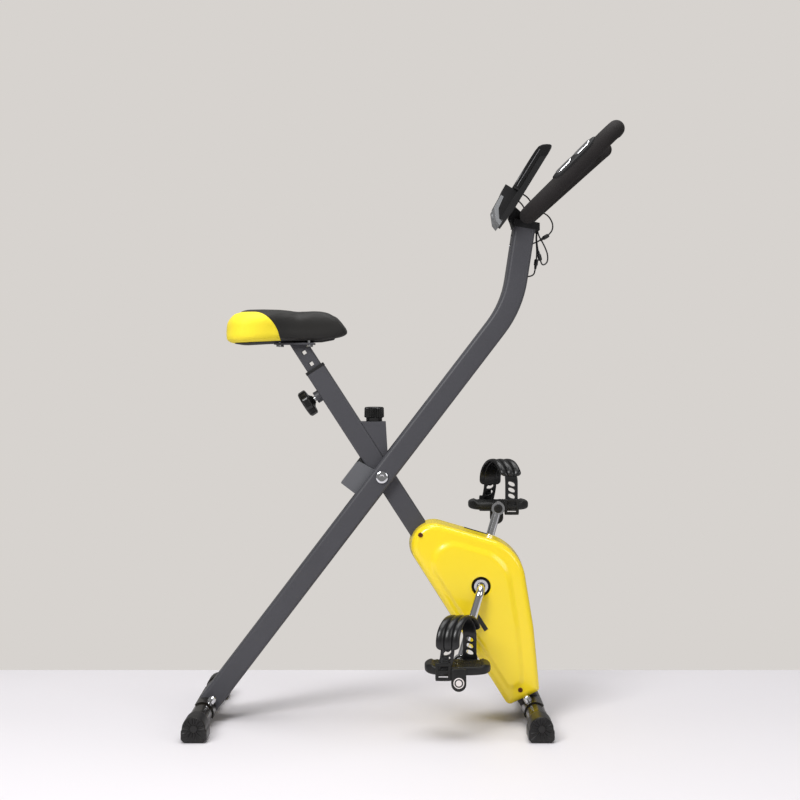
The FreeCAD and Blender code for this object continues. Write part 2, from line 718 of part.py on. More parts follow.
def make_crank():
    """The one-piece crank: a round bar bent twice, an eye at each end, and two cone nuts on it."""
    reach = V(size("crank_reach_x"), 0, size("crank_drop"))
    corner_y, eye_y = size("crank_corner_y"), size("crank_eye_y")
    points = [crank_centre + reach * side + ALONG_Y * side * eye_y for side in (RIGHT, LEFT)]
    points.insert(1, crank_centre + ALONG_Y * RIGHT * corner_y)
    points.insert(2, crank_centre + ALONG_Y * LEFT * corner_y)
    bar = sheet_shape("crank_bar", swept(rounded_path(points, [21, 21]), size("crank_bar_radius")))
    parts, holes = [bar], []
    for side in (RIGHT, LEFT):
        eye = crank_centre + reach * side + ALONG_Y * side * eye_y
        parts.append(across("crank_eye", "crank_eye_radius", "crank_eye_width", eye))
        holes.append(across("eye_hole", "pedal_axle_radius", 60, eye))
    bar_less = cut("crank_cut", joined("crank_blank", *parts), *holes)
    nuts = []
    for side, start, length in ((RIGHT, -52.0, 5.2), (LEFT, 36.5, 7.0)):
        nut = rod("cone_nut", 13, length, crank_centre + ALONG_Y * start, ALONG_Y)
        nuts.append(cut("cone_nut_cut", nut, across("nut_bore", "crank_bar_radius", 120, crank_centre)))
    keep(group("crank_group", bar_less, *nuts), "crank")


def make_pulleys():
    """The large belt pulley on the crank, with a rim, a web and a hub."""
    middle = crank_centre - ALONG_Y * size("pulley_y")
    disc = across("pulley_disc", "pulley_radius", "pulley_width", middle)
    recess = [across("pulley_recess", "pulley_radius - 7", 3, middle + ALONG_Y * side * 4)
              for side in (RIGHT, LEFT)]
    hub = across("pulley_hub", 16, "pulley_width", middle)
    bore = across("pulley_bore", "crank_bar_radius", 100, middle)
    web = joined("pulley_web", cut("pulley_rim", disc, *recess), hub)
    keep(cut("pulley_cut", web, bore), "crank_pulley")


def make_flywheel():
    """The flywheel on its shaft, whose other end is turned as the small belt pulley."""
    middle = flywheel_centre + ALONG_Y * size("flywheel_y")
    disc = across("wheel_disc", "flywheel_radius", "flywheel_width", middle)
    recess = [across("wheel_recess", "flywheel_radius - 12", 8, middle + ALONG_Y * side * 8)
              for side in (RIGHT, LEFT)]
    hub = across("wheel_hub", 14, "flywheel_width", middle)
    bore = across("wheel_bore", "shaft_radius", 100, middle)
    wheel = joined("wheel_web", cut("wheel_rim", disc, *recess), hub)
    keep(cut("wheel_cut", wheel, bore), "flywheel")
    shaft = across("shaft_rod", "shaft_radius", 92, flywheel_centre)
    pulley_middle = flywheel_centre - ALONG_Y * size("pulley_y")
    pulley = across("small_pulley", "small_pulley_radius", "pulley_width", pulley_middle)
    keep(joined("shaft_blank", shaft, pulley), "flywheel_shaft")


def make_flywheel_bracket():
    """The flywheel's bearing housing and the magnet arm's pin, both welded to the seat tube."""
    middle = flywheel_centre - ALONG_Y * 6
    housing = across("housing", 13.5, 43, middle)
    pockets = [across("pocket", 11, 7, middle + ALONG_Y * side * 18) for side in (RIGHT, LEFT)]
    way = across("shaft_way", "shaft_radius + 1.5", 100, middle)
    ends = [across("pocket_end", 11, 3, middle + ALONG_Y * side * 22) for side in (RIGHT, LEFT)]
    block = box("housing_web", 18, 30, 22, V(25, 0, size("flywheel_along") - 11), seat_frame)
    tube_space = box("housing_tube_space", "seat_tube_side", "seat_tube_side", 700, V(0, 0, -600), seat_frame)
    blank = joined("housing_blank", housing, block)
    held = cut("housing_cut", blank, way, tube_space, *(pockets + ends))
    pin = rod("arm_pin", 4, 27, magnet_pin + ALONG_Y * size("seat_tube_side") / 2, ALONG_Y)
    keep(group("bracket_group", held, pin), "flywheel_bracket")


def make_magnet_arm():
    """The arm that swings three magnets away from the flywheel's rim."""
    middle = flywheel_centre + ALONG_Y * size("flywheel_y")
    inner = size("flywheel_radius") + 4
    outer = across("shoe_outer", inner + 7, 16, middle)
    hole = across("shoe_inner", inner, 60, middle)
    hub = V(size("flywheel_out"), 0, size("flywheel_along"))
    rays = [V(math.sin(math.radians(angle)), 0, math.cos(math.radians(angle))) for angle in (-50, -20, 10)]
    corners = [flywheel_centre] + [seat_frame.multVec(hub + ray * 150) for ray in rays] + [flywheel_centre]
    face = Part.Face(Part.makePolygon(corners))
    sector = sheet_shape("shoe_sector", face.extrude(ALONG_Y * 80))
    shoe = common("shoe_part", cut("shoe_ring", outer, hole), sector)
    boss = rod("arm_boss", 8, 16, magnet_pin + ALONG_Y * (size("flywheel_y") - 8), ALONG_Y)
    link_start = seat_frame.inverse().multVec(magnet_pin) + V(0, size("flywheel_y"), 0)
    link = box("arm_link", 10, 16, 14, link_start, seat_frame)
    bore = across("arm_bore", 4 + size("running_gap"), 200, magnet_pin)
    clear = across("arm_clear", inner, 60, middle)
    arm = cut("arm_cut", joined("arm_blank", shoe, boss, link), bore, clear)
    magnets = []
    for degrees in (-32, -14, 4):
        frame = seat_frame * leaning(hub + ALONG_Y * size("flywheel_y"), degrees)
        magnet = box("magnet", 12, 12, 5, V(0, 0, inner - 2), frame)
        behind = cut("shoe_again", across("shoe_two", inner + 7, 16, middle), hole)
        magnets.append(cut("magnet_cut", magnet, behind))
    keep(group("arm_group", arm, *magnets), "magnet_arm")


def make_belt():
    """The drive belt: a closed band round both pulleys."""
    gap = size("pulley_y") + size("belt_width") / 2
    line = flywheel_centre - crank_centre
    way = math.atan2(line.z, line.x)
    spread = math.acos((size("pulley_radius") - size("small_pulley_radius")) / line.Length)

    def loop(extra):
        """The band's face at some distance outside the pulleys."""
        spots = []
        for centre, radius, angles in (
                (crank_centre, size("pulley_radius") + extra, (spread, math.pi, -spread)),
                (flywheel_centre, size("small_pulley_radius") + extra, (-spread, 0, spread))):
            for angle in angles:
                spots.append(centre + V(math.cos(way + angle), 0, math.sin(way + angle)) * radius)
        arcs = [Part.Arc(*spots[:3]).toShape(), Part.LineSegment(spots[2], spots[3]).toShape(),
                Part.Arc(*spots[3:]).toShape(), Part.LineSegment(spots[5], spots[0]).toShape()]
        return Part.Face(Part.Wire(arcs)).extrude(ALONG_Y * size("belt_width"))

    band = loop(0.3 + size("belt_thickness")).cut(loop(0.3))
    band.translate(V(0, -gap, 0))
    keep(sheet_shape("belt_band", band), "drive_belt")


# Casing -----------------------------------------------------------------------------------------------

# Each corner of the casing's side view, and the radius that rounds it, where one does.
CASING_CORNERS = [(-54.0, 416.6, 46.0), (216.4, 338.0, 88.0), (241.0, 187.0, 0.0), (253.2, 59.0, 10.0),
                  (191.9, 29.8, 12.0)]
CASING_SCREWS = [(27.9, 354.7), (216.0, 62.8)]


def inset_corners(inset):
    """The casing's corners and radii, drawn in all round by an inset."""
    points = [V(x, z, 0) for x, z, radius in CASING_CORNERS]
    drawn_in = []
    for number, point in enumerate(points):
        back = (points[number - 1] - point).normalize()
        on = (points[(number + 1) % len(points)] - point).normalize()
        inward = (back + on).normalize()
        corner = point + inward * (inset / math.sin(back.getAngle(on) / 2))
        drawn_in.append((corner.x, corner.y, max(CASING_CORNERS[number][2] - inset, 0)))
    return drawn_in


def casing_solid(name, side, corners, depth, edge_radius):
    """A solid with the casing's side view, from the middle plane out to one side."""
    body = new_body(name)
    texts = [(str(round(x, 4)), str(round(z, 4))) for x, z, radius in corners]
    feature = pad(body, outline(body, "XZ_Plane", texts), depth, reverse=side == LEFT)
    for x, z, radius in corners:
        if not radius:
            continue
        here = V(x, 0, z)
        feature = round_edges(body, feature, lambda edge: runs_along(ALONG_Y)(edge) and (
            edge.CenterOfMass - here - ALONG_Y * edge.CenterOfMass.y).Length < 0.5, radius)
    outer_y = side * worth(depth)
    round_edges(body, feature, lambda edge: abs(edge.BoundBox.YMin - outer_y) < 1e-4
                and edge.BoundBox.YLength < 1e-4, edge_radius)
    return body


def make_casing(side, label):
    """One half of the casing: a shell open towards the other half, cut out for the tube and hub."""
    blank = casing_solid(label + "_body", side, CASING_CORNERS, "casing_half", "casing_edge")
    hollow = casing_solid(label + "_hollow", side, inset_corners(size("casing_wall")),
                          "casing_half - casing_wall", "casing_edge - casing_wall")
    side_gap = "seat_tube_side + 0.6"
    tube = box(label + "_tube_way", side_gap, side_gap, 900, V(0, 0, -600), seat_frame)
    hub = across(label + "_hub_way", "hub_hole_radius", 200, crank_centre)
    screws = [across(label + "_screw_way", 2.5, 200, V(x, 0, z)) for x, z in CASING_SCREWS]
    keep(cut(label + "_cut", blank, hollow, tube, hub, *screws), label)


def make_casing_screws():
    """Four pan-head screws, two in each half."""
    screws = []
    for side in (RIGHT, LEFT):
        for x, z in CASING_SCREWS:
            start = V(x, side * (size("casing_half") - 14), z)
            shank = rod("casing_shank", 2.5, 14, start, ALONG_Y * side)
            head = rod("casing_head", 4.5, 1.8, V(x, side * size("casing_half"), z), ALONG_Y * side)
            screws.append(joined("casing_screw", shank, head))
    keep(group("casing_screw_group", *screws), "casing_screws")


# Pedals -----------------------------------------------------------------------------------------------


def make_pedals():
    """Both pedals with their straps, and both axles screwed into the crank's eyes."""
    axles = []
    reach = V(size("crank_reach_x"), 0, size("crank_drop"))
    for side, name in ((RIGHT, "right"), (LEFT, "left")):
        eye = crank_centre + reach * side
        start = eye + ALONG_Y * side * (size("crank_eye_y") - size("crank_eye_width") / 2)
        axle = rod("axle_rod", "pedal_axle_radius", 96, start, ALONG_Y * side)
        collar_y = size("crank_eye_y") + size("crank_eye_width") / 2
        collar = rod("axle_collar", 9, 5, eye + ALONG_Y * side * collar_y, ALONG_Y * side)
        axles.append(joined("axle", axle, collar))
        make_pedal(side, name, eye + ALONG_Y * side * size("pedal_y"))
    keep(group("axle_group", *axles), "pedal_axles")


def make_pedal(side, name, middle):
    """A pedal body, the balance weight on its outer end, and the strap that arches over the foot."""
    low = middle - V(0, 0, size("pedal_height") / 2 + 1)
    body = new_body(name + "_pedal_body", FreeCAD.Placement(low, FreeCAD.Rotation()))
    plan = [("0 - pedal_length / 2", "0 - 22"), ("0 - pedal_length / 2 + 14", "0 - pedal_width / 2"),
            ("pedal_length / 2 - 18", "0 - pedal_width / 2"), ("pedal_length / 2", "0 - 20"),
            ("pedal_length / 2", "20"), ("pedal_length / 2 - 18", "pedal_width / 2"),
            ("0 - pedal_length / 2 + 14", "pedal_width / 2"), ("0 - pedal_length / 2", "22")]
    feature = pad(body, outline(body, "XY_Plane", plan), "pedal_height")
    round_edges(body, feature, runs_along(V(0, 0, 1)), 7)
    outer_y = middle.y + side * (size("pedal_width") / 2 + 1)
    weight_low = V(middle.x - 5, outer_y, middle.z - 20)
    weight_block = box(name + "_weight_block", 27, 9, 24, weight_low)
    weight = joined(name + "_weight_blank", weight_block, across(name + "_weight_end", 13.5, 9, weight_low))
    bore = across(name + "_pedal_bore", "pedal_axle_radius + running_gap", 92, middle)
    strap = make_strap(side, name, middle)
    keep(cut(name + "_weight_cut", weight, strap), name + "_pedal_weight")
    keep(cut(name + "_pedal_cut", body, bore, strap, weight), name + "_pedal")


def make_strap(side, name, middle):
    """The moulded strap: two legs in the pedal's sides and an arch, slanting forwards to the inside."""
    width, rise = size("strap_width"), size("strap_rise")
    outer_half, thickness = size("strap_half"), size("strap_thickness")

    def arch(half, height):
        """A tall arch's face in YZ with straight legs and a half-round top."""
        points = [V(0, -half, -6), V(0, -half, height), V(0, 0, height + half), V(0, half, height),
                  V(0, half, -6)]
        edges = [Part.LineSegment(points[0], points[1]).toShape(), Part.Arc(*points[1:4]).toShape(),
                 Part.LineSegment(points[3], points[4]).toShape(),
                 Part.LineSegment(points[4], points[0]).toShape()]
        return Part.Face(Part.Wire(edges)).extrude(V(width, 0, 0))

    band = arch(outer_half, rise).cut(arch(outer_half - thickness, rise))
    band.translate(V(-width / 2, 0, 0))
    for leg in (RIGHT, LEFT):
        slim = Part.makeBox(20, 20, rise + 8, V(-width / 2 - 12, leg * outer_half - 10, -8))
        trim = Part.makeBox(20, 20, rise + 8, V(width / 2 - 8, leg * outer_half - 10, -8))
        band = band.cut(slim).cut(trim)
    shear = FreeCAD.Matrix()
    shear.A12 = -side * size("strap_slant")
    axle_way = Part.makeCylinder(size("pedal_axle_radius") + 0.5, 200, ALONG_Y * -100, ALONG_Y)
    slanted = band.transformGeometry(shear).cut(axle_way)
    slanted.translate(middle)
    return keep(sheet_shape(name + "_strap_band", slanted), name + "_strap")


# Handlebar --------------------------------------------------------------------------------------------


def bar_points():
    """The handlebar's route from its right end to its left end."""
    tip = V(size("bar_tip_x"), 0, size("bar_tip_z"))
    half = [tip + V(2, size("bar_end_y"), 0), tip + V(0, size("bar_tip_y"), 0), V(0, size("bar_corner_y"), 0)]
    right = [bar_centre + V(point.x, -point.y, point.z) for point in half]
    left = [bar_centre + point for point in reversed(half)]
    return right + left


BAR_RADII = [35, 50, 50, 35]


def make_handlebar():
    """The bent steel bar and the two foam grips drawn over its arms."""
    points = bar_points()
    solid_bar = swept(rounded_path(points, BAR_RADII), size("bar_radius"))
    hollow = swept(rounded_path(points, BAR_RADII), size("bar_radius") - 1.5)
    keep(sheet_shape("bar_tube", solid_bar.cut(hollow)), "handlebar")
    for side, label in ((RIGHT, "right_grip"), (LEFT, "left_grip")):
        inner = bar_centre + ALONG_Y * side * 62
        arm = [bar_centre + ALONG_Y * side * size("bar_corner_y")]
        order = points[:3][::-1] if side == RIGHT else points[3:]
        end = order[2] + (order[2] - order[1]).normalize() * 4
        route = rounded_path([inner, arm[0], order[1], end], [50, 35])
        foam = swept(route, size("foam_radius"))
        keep(sheet_shape(label + "_foam", foam.cut(solid_bar)), label)


def arm_frame(side):
    """A frame at an arm's lower corner: Z along the arm, -X towards its upper rear."""
    outward = side * (size("bar_tip_y") - size("bar_corner_y"))
    way = V(size("bar_tip_x"), outward, size("bar_tip_z")).normalize()
    front = V(way.z, 0, -way.x).normalize()
    turn = FreeCAD.Rotation(front, way.cross(front), way, "ZXY")
    return FreeCAD.Placement(bar_centre + ALONG_Y * side * size("bar_corner_y"), turn)


def make_pulse_sensors():
    """On each arm, a moulded carrier over the foam with two thin metal plates on it."""
    carriers, plates = [], []
    for side in (RIGHT, LEFT):
        frame = arm_frame(side)
        outer = rod("carrier_outer", "foam_radius + 4.2", 98, V(0, 0, 76), V(0, 0, 1), frame)
        inner = rod("carrier_inner", "foam_radius", 120, V(0, 0, 65), V(0, 0, 1), frame)
        rear = box("carrier_rear", 40, 60, 120, V(-25, 0, 65), frame)
        carriers.append(common("carrier", cut("carrier_ring", outer, inner), rear))
        for start in (84, 130):
            skin = rod("plate_outer", "foam_radius + 5", 34, V(0, 0, start), V(0, 0, 1), frame)
            core = rod("plate_inner", "foam_radius + 4.2", 120, V(0, 0, 65), V(0, 0, 1), frame)
            strip = box("plate_strip", 40, 24, 120, V(-25, 0, 65), frame)
            plates.append(common("plate", cut("plate_ring", skin, core), strip))
    keep(group("carrier_group", *carriers), "pulse_carriers")
    keep(group("plate_group", *plates), "pulse_plates")


# Console ----------------------------------------------------------------------------------------------


def side_block(name, profile, half, frame=console_frame):
    """A block with a side-view profile, symmetric in Y."""
    body = new_body(name, frame)
    pad(body, outline(body, "XZ_Plane", profile), f"2 * {half}", middle=True)
    return body


def make_console():
    """Console on its moulded mount: back shell, tablet rest, front bezel, display and one button."""
    shell = side_block("shell_block", [("0 - 6", "0 - 24"), ("4", "0 - 24"), ("6", "0"), ("6", "132"),
                                       ("0 - 6", "132")], "tablet_half - 3")
    rest = side_block("rest_block", [("0 - 18", "38"), ("0 - 6", "38"), ("0 - 6", "132"), ("0 - 1", "142"),
                                     ("0 - 10", "138"), ("0 - 17", "122")], "tablet_half")
    keep(rest, "tablet_rest")
    housing = side_block("housing_block", [("0 - 6", "38"), ("0 - 32", "38"), ("0 - 29", "16"),
                                           ("0 - 21", "0 - 8"), ("0 - 8", "0 - 24"), ("0 - 6", "0 - 24")],
                         "monitor_half")
    bezel = side_block("bezel_block", [("0 - 29", "16"), ("0 - 35", "16"), ("0 - 28.5", "0 - 11"),
                                       ("0 - 12", "0 - 30"), ("0 - 1", "0 - 34"), ("0 - 1", "0 - 24.1"),
                                       ("0 - 8", "0 - 24"), ("0 - 21", "0 - 8")], "monitor_half + 2")
    face = console_frame * leaning(V(-31.75, 0, 2.5), -13.5)
    screen = box("screen_blank", 2.5, 62, 21, V(0.2, 0, -10.5), face)
    slope = console_frame * leaning(V(-20.25, 0, -20.5), -41.0)
    well = rod("button_well", 5.5, 20, V(-8, 0, 0), V(1, 0, 0), slope)
    button = rod("button_blank", 5.2, 5.6, V(-2, 0, 0), V(1, 0, 0), slope)
    keep(cut("bezel_cut", bezel, screen, well), "console_bezel")
    keep(cut("shell_less", joined("shell_and_housing", shell, housing), well), "console_shell")
    keep(screen, "console_screen")
    keep(button, "mode_button")


def make_console_mount():
    """The moulded cap on the post's end: it cradles the bar and carries the console."""
    top = size("head_length")
    cap = box("mount_cap", 52, "post_width + 2", 14, V(4, 0, top), head_frame)
    bar_way = across("mount_bar_way", "bar_radius", 200, bar_centre)
    rear = side_block("mount_arm", [("6", "0 - 6"), ("6", "16"), ("26", "12"), ("34", "0"), ("30", "0 - 26"),
                                    ("14", "0 - 12")], "24")
    tube_space = box("mount_post_space", 60, 120, 60, V(0, 0, top - 60), head_frame)
    keep(cut("mount_cut", joined("mount_blank", cap, rear), bar_way, tube_space), "console_mount")


def make_head_screws():
    """Two small screws in the post's rear face below the console."""
    screws = []
    for height in HEAD_SCREWS:
        rear = V(-size("post_depth") / 2, 0, height)
        shank = rod("head_shank", 2, 8, rear, V(1, 0, 0), head_frame)
        head = rod("head_head", 4, 2.2, rear, V(-1, 0, 0), head_frame)
        screws.append(joined("head_screw", shank, head))
    keep(group("head_screw_group", *screws), "console_screws")


# Tension control --------------------------------------------------------------------------------------


def make_tension_control():
    """The folded bracket welded in front of the seat tube, and the ribbed knob on top of it."""
    top = size("knob_bracket_z")
    tube_front = size("seat_tube_side") / 2
    low = seat_frame.multVec(V(tube_front, 0, 14))
    high = seat_frame.multVec(V(tube_front, 0, 0))
    along = (top - high.z) / seat_way.z
    rear = high + seat_way * along
    corners = [(str(round(rear.x, 3)), "knob_bracket_z"), ("knob_bracket_x + 22", "knob_bracket_z"),
               (str(round(low.x, 3)), str(round(low.z, 3)))]
    blank = side_block("knob_bracket_block", corners, "17", upright)
    inner = [(str(round(rear.x - 6, 3)), "knob_bracket_z - 2"), ("knob_bracket_x + 20", "knob_bracket_z - 2"),
             (str(round(low.x - 3.5, 3)), str(round(low.z + 2, 3)))]
    hollow = side_block("knob_bracket_hollow", inner, "15", upright)
    stem_point = V(size("knob_bracket_x"), 0, top - 10)
    hole = rod("stem_hole", 4.05, 20, stem_point, V(0, 0, 1))
    tube_space = box("knob_tube_space", "seat_tube_side", "seat_tube_side", 700, V(0, 0, -400), seat_frame)
    keep(cut("knob_bracket_cut", blank, hollow, hole, tube_space), "knob_bracket")
    frame = FreeCAD.Placement(V(size("knob_bracket_x"), 0, top), FreeCAD.Rotation())
    profile = [("0", "0 - 6"), ("4", "0 - 6"), ("4", "0.3"), ("15.5", "0.3"), ("15.5", "7"),
               ("tension_radius", "8"), ("tension_radius", "6 + tension_height"),
               ("tension_radius - 2", "8 + tension_height"), ("0", "8 + tension_height")]
    keep(turned("tension_knob", profile, frame), "tension_knob")


def make_tension_cable():
    """The control cable, held all the way inside the bracket and the seat tube."""
    points = [seat_frame.multVec(point) for point in cable_route]
    radii = [20, 20, 400, 200, 30]
    keep(sheet_shape("cable_tube", swept(rounded_path(points, radii), 2.2)), "tension_cable")


# Leads at the top of the post ---------------------------------------------------------------------------

LEAD = 2.8

# From the bar's sensors down to a plug, and on into the post.
PULSE_LEAD = [V(237, 40, 962.9), V(247, 40, 969), V(262, 36, 972), V(276, 29, 964), V(284, 22, 949),
              V(283.5, 16, 935), V(275, 12, 924.5), V(258, 6, 914), V(248, 4, 908.5), V(237, 4, 905.8)]
# Out from under the bar, down, sharply back up through a plug, and in again.
SENSOR_LEAD = [V(251.5, -16, 930.3), V(253, -16, 922), V(259, -15, 912), V(266, -13, 899), V(271.5, -11, 885),
               V(271, -9, 870), V(261.5, -8, 864.5), V(257.5, -8, 874), V(253, -7, 893), V(251, -7, 907),
               V(250, -6, 919), V(251.5, -6, 930.3)]
# From the console down through a plug and into the post, on its way to the drive.
SPEED_LEAD = [V(251.5, 7, 930.3), V(250.5, 8, 920), V(251.5, 9, 907), V(252.2, 9, 892), V(251.5, 9, 878),
              V(249, 8, 859), V(247, 8, 849), V(240.5, 8, 845.2), V(233.5, 8, 844.6), V(227, 8, 844.8)]
# Two short leads from the console's back down to the bar.
CONSOLE_LEAD_A = [V(217.3, 12, 990), V(223.5, 14, 985), V(228.5, 20, 978), V(231, 28, 971), V(230.5, 36, 966)]
CONSOLE_LEAD_B = [V(223.6, -14, 1000.3), V(230.5, -15, 996), V(236.5, -18, 988.5), V(240, -22, 979.5),
                  V(238.5, -26, 971), V(234, -30, 964.9)]


def make_plug(name, start, end):
    """A moulded in-line plug round a straight stretch of a lead: a body and a narrower end."""
    way = (end - start).normalize()
    length = (end - start).Length
    body = rod(name + "_body", 3.8, length * 0.62, start, way)
    neck = rod(name + "_neck", 2.9, length * 0.38, start + way * length * 0.62, way)
    return cut(name, joined(name + "_blank", body, neck), rod(name + "_bore", LEAD / 2, length, start, way))


def make_leads():
    """Every lead in a node of its own, and the three plugs in one."""
    cord("pulse_lead", PULSE_LEAD, LEAD)
    cord("sensor_lead", SENSOR_LEAD, LEAD)
    cord("speed_lead", SPEED_LEAD, LEAD)
    cord("console_lead_a", CONSOLE_LEAD_A, LEAD)
    cord("console_lead_b", CONSOLE_LEAD_B, LEAD)
    plugs = [make_plug("pulse_plug", PULSE_LEAD[6], PULSE_LEAD[7]),
             make_plug("sensor_plug", SENSOR_LEAD[7], SENSOR_LEAD[8]),
             make_plug("speed_plug", SPEED_LEAD[4], SPEED_LEAD[5])]
    keep(group("plug_group", *plugs), "lead_plugs")


# The whole bike -----------------------------------------------------------------------------------------

make_seat_tube()
make_seat_bush()
make_pull_pin()
make_seat_post()
make_seat()
make_foot("front", front_foot, seat_way)
make_foot("rear", rear_foot, post_way)
make_post()
make_pivot()
make_stop()
make_shell()
make_cups_and_bearings()
make_crank()
make_pulleys()
make_flywheel()
make_flywheel_bracket()
make_magnet_arm()
make_belt()
make_casing(RIGHT, "right_casing")
make_casing(LEFT, "left_casing")
make_casing_screws()
make_pedals()
make_handlebar()
make_pulse_sensors()
make_console()
make_console_mount()
make_head_screws()
make_tension_control()
make_tension_cable()
make_leads()
doc.recompute()


def faults():
    """Every object that failed to build, and every piece without a sound solid."""
    found = [item.Name for item in doc.Objects if "Invalid" in item.State or "Error" in item.State]
    for piece in kept:
        shape = piece.Shape
        if shape.isNull() or not shape.isValid() or not shape.Solids:
            found.append(piece.Label)
    return found


broken = faults()
if broken:
    raise RuntimeError("not sound: " + ", ".join(broken))

os.makedirs("parts", exist_ok=True)
whole = FreeCAD.BoundBox()
for piece in kept:
    piece.Shape.exportStep(f"parts/{piece.Label}.step")
    whole.add(piece.Shape.BoundBox)
    print(piece.Label, len(piece.Shape.Solids), round(piece.Shape.Volume / 1000, 2))
print(len(kept), "nodes", whole)
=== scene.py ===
"""A folding exercise bike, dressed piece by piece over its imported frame.

Metres, in the frame's own axes: +X forwards, +Y to the rider's left and +Z up.
"""
import json
import math

import bmesh
import bpy
import numpy as np
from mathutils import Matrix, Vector

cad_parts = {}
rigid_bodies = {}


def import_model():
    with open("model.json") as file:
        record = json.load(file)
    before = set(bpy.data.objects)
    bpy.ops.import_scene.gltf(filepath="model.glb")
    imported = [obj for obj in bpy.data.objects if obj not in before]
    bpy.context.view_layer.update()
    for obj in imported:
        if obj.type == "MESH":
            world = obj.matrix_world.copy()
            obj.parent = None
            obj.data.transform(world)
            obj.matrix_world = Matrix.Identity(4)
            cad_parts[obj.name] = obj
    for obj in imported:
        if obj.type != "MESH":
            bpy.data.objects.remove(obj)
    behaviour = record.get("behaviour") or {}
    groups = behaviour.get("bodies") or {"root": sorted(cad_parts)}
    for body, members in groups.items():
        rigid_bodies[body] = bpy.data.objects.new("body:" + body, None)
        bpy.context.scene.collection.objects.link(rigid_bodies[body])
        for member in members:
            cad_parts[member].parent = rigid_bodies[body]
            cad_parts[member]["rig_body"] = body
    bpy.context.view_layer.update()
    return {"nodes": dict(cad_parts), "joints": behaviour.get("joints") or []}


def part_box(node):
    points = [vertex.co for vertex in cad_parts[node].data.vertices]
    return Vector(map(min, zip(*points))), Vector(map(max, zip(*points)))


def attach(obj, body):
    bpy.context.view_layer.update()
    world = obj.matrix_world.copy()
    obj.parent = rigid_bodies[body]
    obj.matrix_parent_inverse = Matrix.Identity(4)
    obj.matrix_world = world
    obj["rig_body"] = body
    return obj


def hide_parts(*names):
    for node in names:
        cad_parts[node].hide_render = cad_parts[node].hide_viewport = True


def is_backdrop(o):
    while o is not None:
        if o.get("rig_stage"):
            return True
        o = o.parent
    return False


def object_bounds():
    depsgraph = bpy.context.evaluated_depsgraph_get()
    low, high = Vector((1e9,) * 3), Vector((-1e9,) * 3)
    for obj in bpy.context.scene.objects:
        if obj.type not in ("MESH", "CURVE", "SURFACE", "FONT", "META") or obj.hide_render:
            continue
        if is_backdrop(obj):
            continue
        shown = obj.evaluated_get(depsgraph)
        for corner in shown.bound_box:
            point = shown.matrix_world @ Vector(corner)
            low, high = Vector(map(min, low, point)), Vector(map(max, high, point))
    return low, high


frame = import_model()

MM = 0.001
RIGHT, LEFT = -1, 1

# The view, the floor and the lamps ----------------------------------------------------------------
# A long lens looks level and square at the bike's right side from three metres off. A pale table top
# stands under it before a pale wall, in a dimmer room. Large soft lamps light it from the front and above.


def linear(code):
    """A hex sRGB colour in linear light: a twelfth-and-a-bit below the knee, a 2.4 power above it."""
    parts = np.array([int(code[spot:spot + 2], 16) / 255 for spot in (1, 3, 5)])
    curved = np.where(parts > 0.04045, ((parts + 0.055) / 1.055) ** 2.4, parts / 12.92)
    return (*curved.tolist(), 1.0)


def add(tree, kind, inputs=None, **settings):
    """Adds a node, with its settings, and with each input set to a value or linked from a socket."""
    made = tree.nodes.new(kind)
    for name, value in settings.items():
        setattr(made, name, value)
    for key, value in (inputs or {}).items():
        if isinstance(value, bpy.types.NodeSocket):
            tree.links.new(value, made.inputs[key])
        else:
            made.inputs[key].default_value = value
    return made


def placed(name, data):
    """A new object for some data, linked into the scene."""
    made = bpy.data.objects.new(name, data)
    bpy.context.scene.collection.objects.link(made)
    return made


def blank(name):
    """A new material whose node tree is emptied, and that tree."""
    made = bpy.data.materials.new(name)
    made.use_nodes = True
    made.node_tree.nodes.clear()
    return made, made.node_tree


camera = placed("camera", bpy.data.cameras.new("camera"))
camera.location = (-0.0144, -3.0, 0.6729)
camera.rotation_euler = (math.pi / 2, 0, 0)
camera.data.lens = 70.5
camera.data.sensor_width = 36
camera.data.shift_x = 0.0025
camera.data.shift_y = -0.0425
bpy.context.scene.camera = camera
bpy.context.scene.view_settings.view_transform = "Standard"

world = bpy.data.worlds.new("pale_wall")
bpy.context.scene.world = world
world.use_nodes = True
world.node_tree.nodes.clear()
seen = add(world.node_tree, "ShaderNodeLightPath").outputs["Is Camera Ray"]
room = add(world.node_tree, "ShaderNodeBackground", {"Color": linear("#dcdad8"), "Strength": 0.36})
wall = add(world.node_tree, "ShaderNodeBackground", {"Color": linear("#d7d3cf"), "Strength": 1.0})
both = add(world.node_tree, "ShaderNodeMixShader", {0: seen, 1: room.outputs[0], 2: wall.outputs[0]})
add(world.node_tree, "ShaderNodeOutputWorld", {"Surface": both.outputs["Shader"]})

for name, place, aim, width, power in (("key_lamp", (-1.5, -2.5, 2.5), (0.05, 0, 0.7), 1.4, 80),
                                       ("fill_lamp", (2.3, -2.2, 1.6), (0, 0, 0.6), 1.4, 16),
                                       ("top_lamp", (0.1, -0.1, 3.0), (0, 0, 0), 2.2, 58)):
    lamp = placed(name, bpy.data.lights.new(name, "AREA"))
    lamp.data.size = width
    lamp.data.energy = power
    lamp.location = place
    lamp.rotation_mode = "QUATERNION"
    way = np.array(aim) - np.array(place)
    lamp.rotation_quaternion = Vector(way).to_track_quat("-Z", "Y")

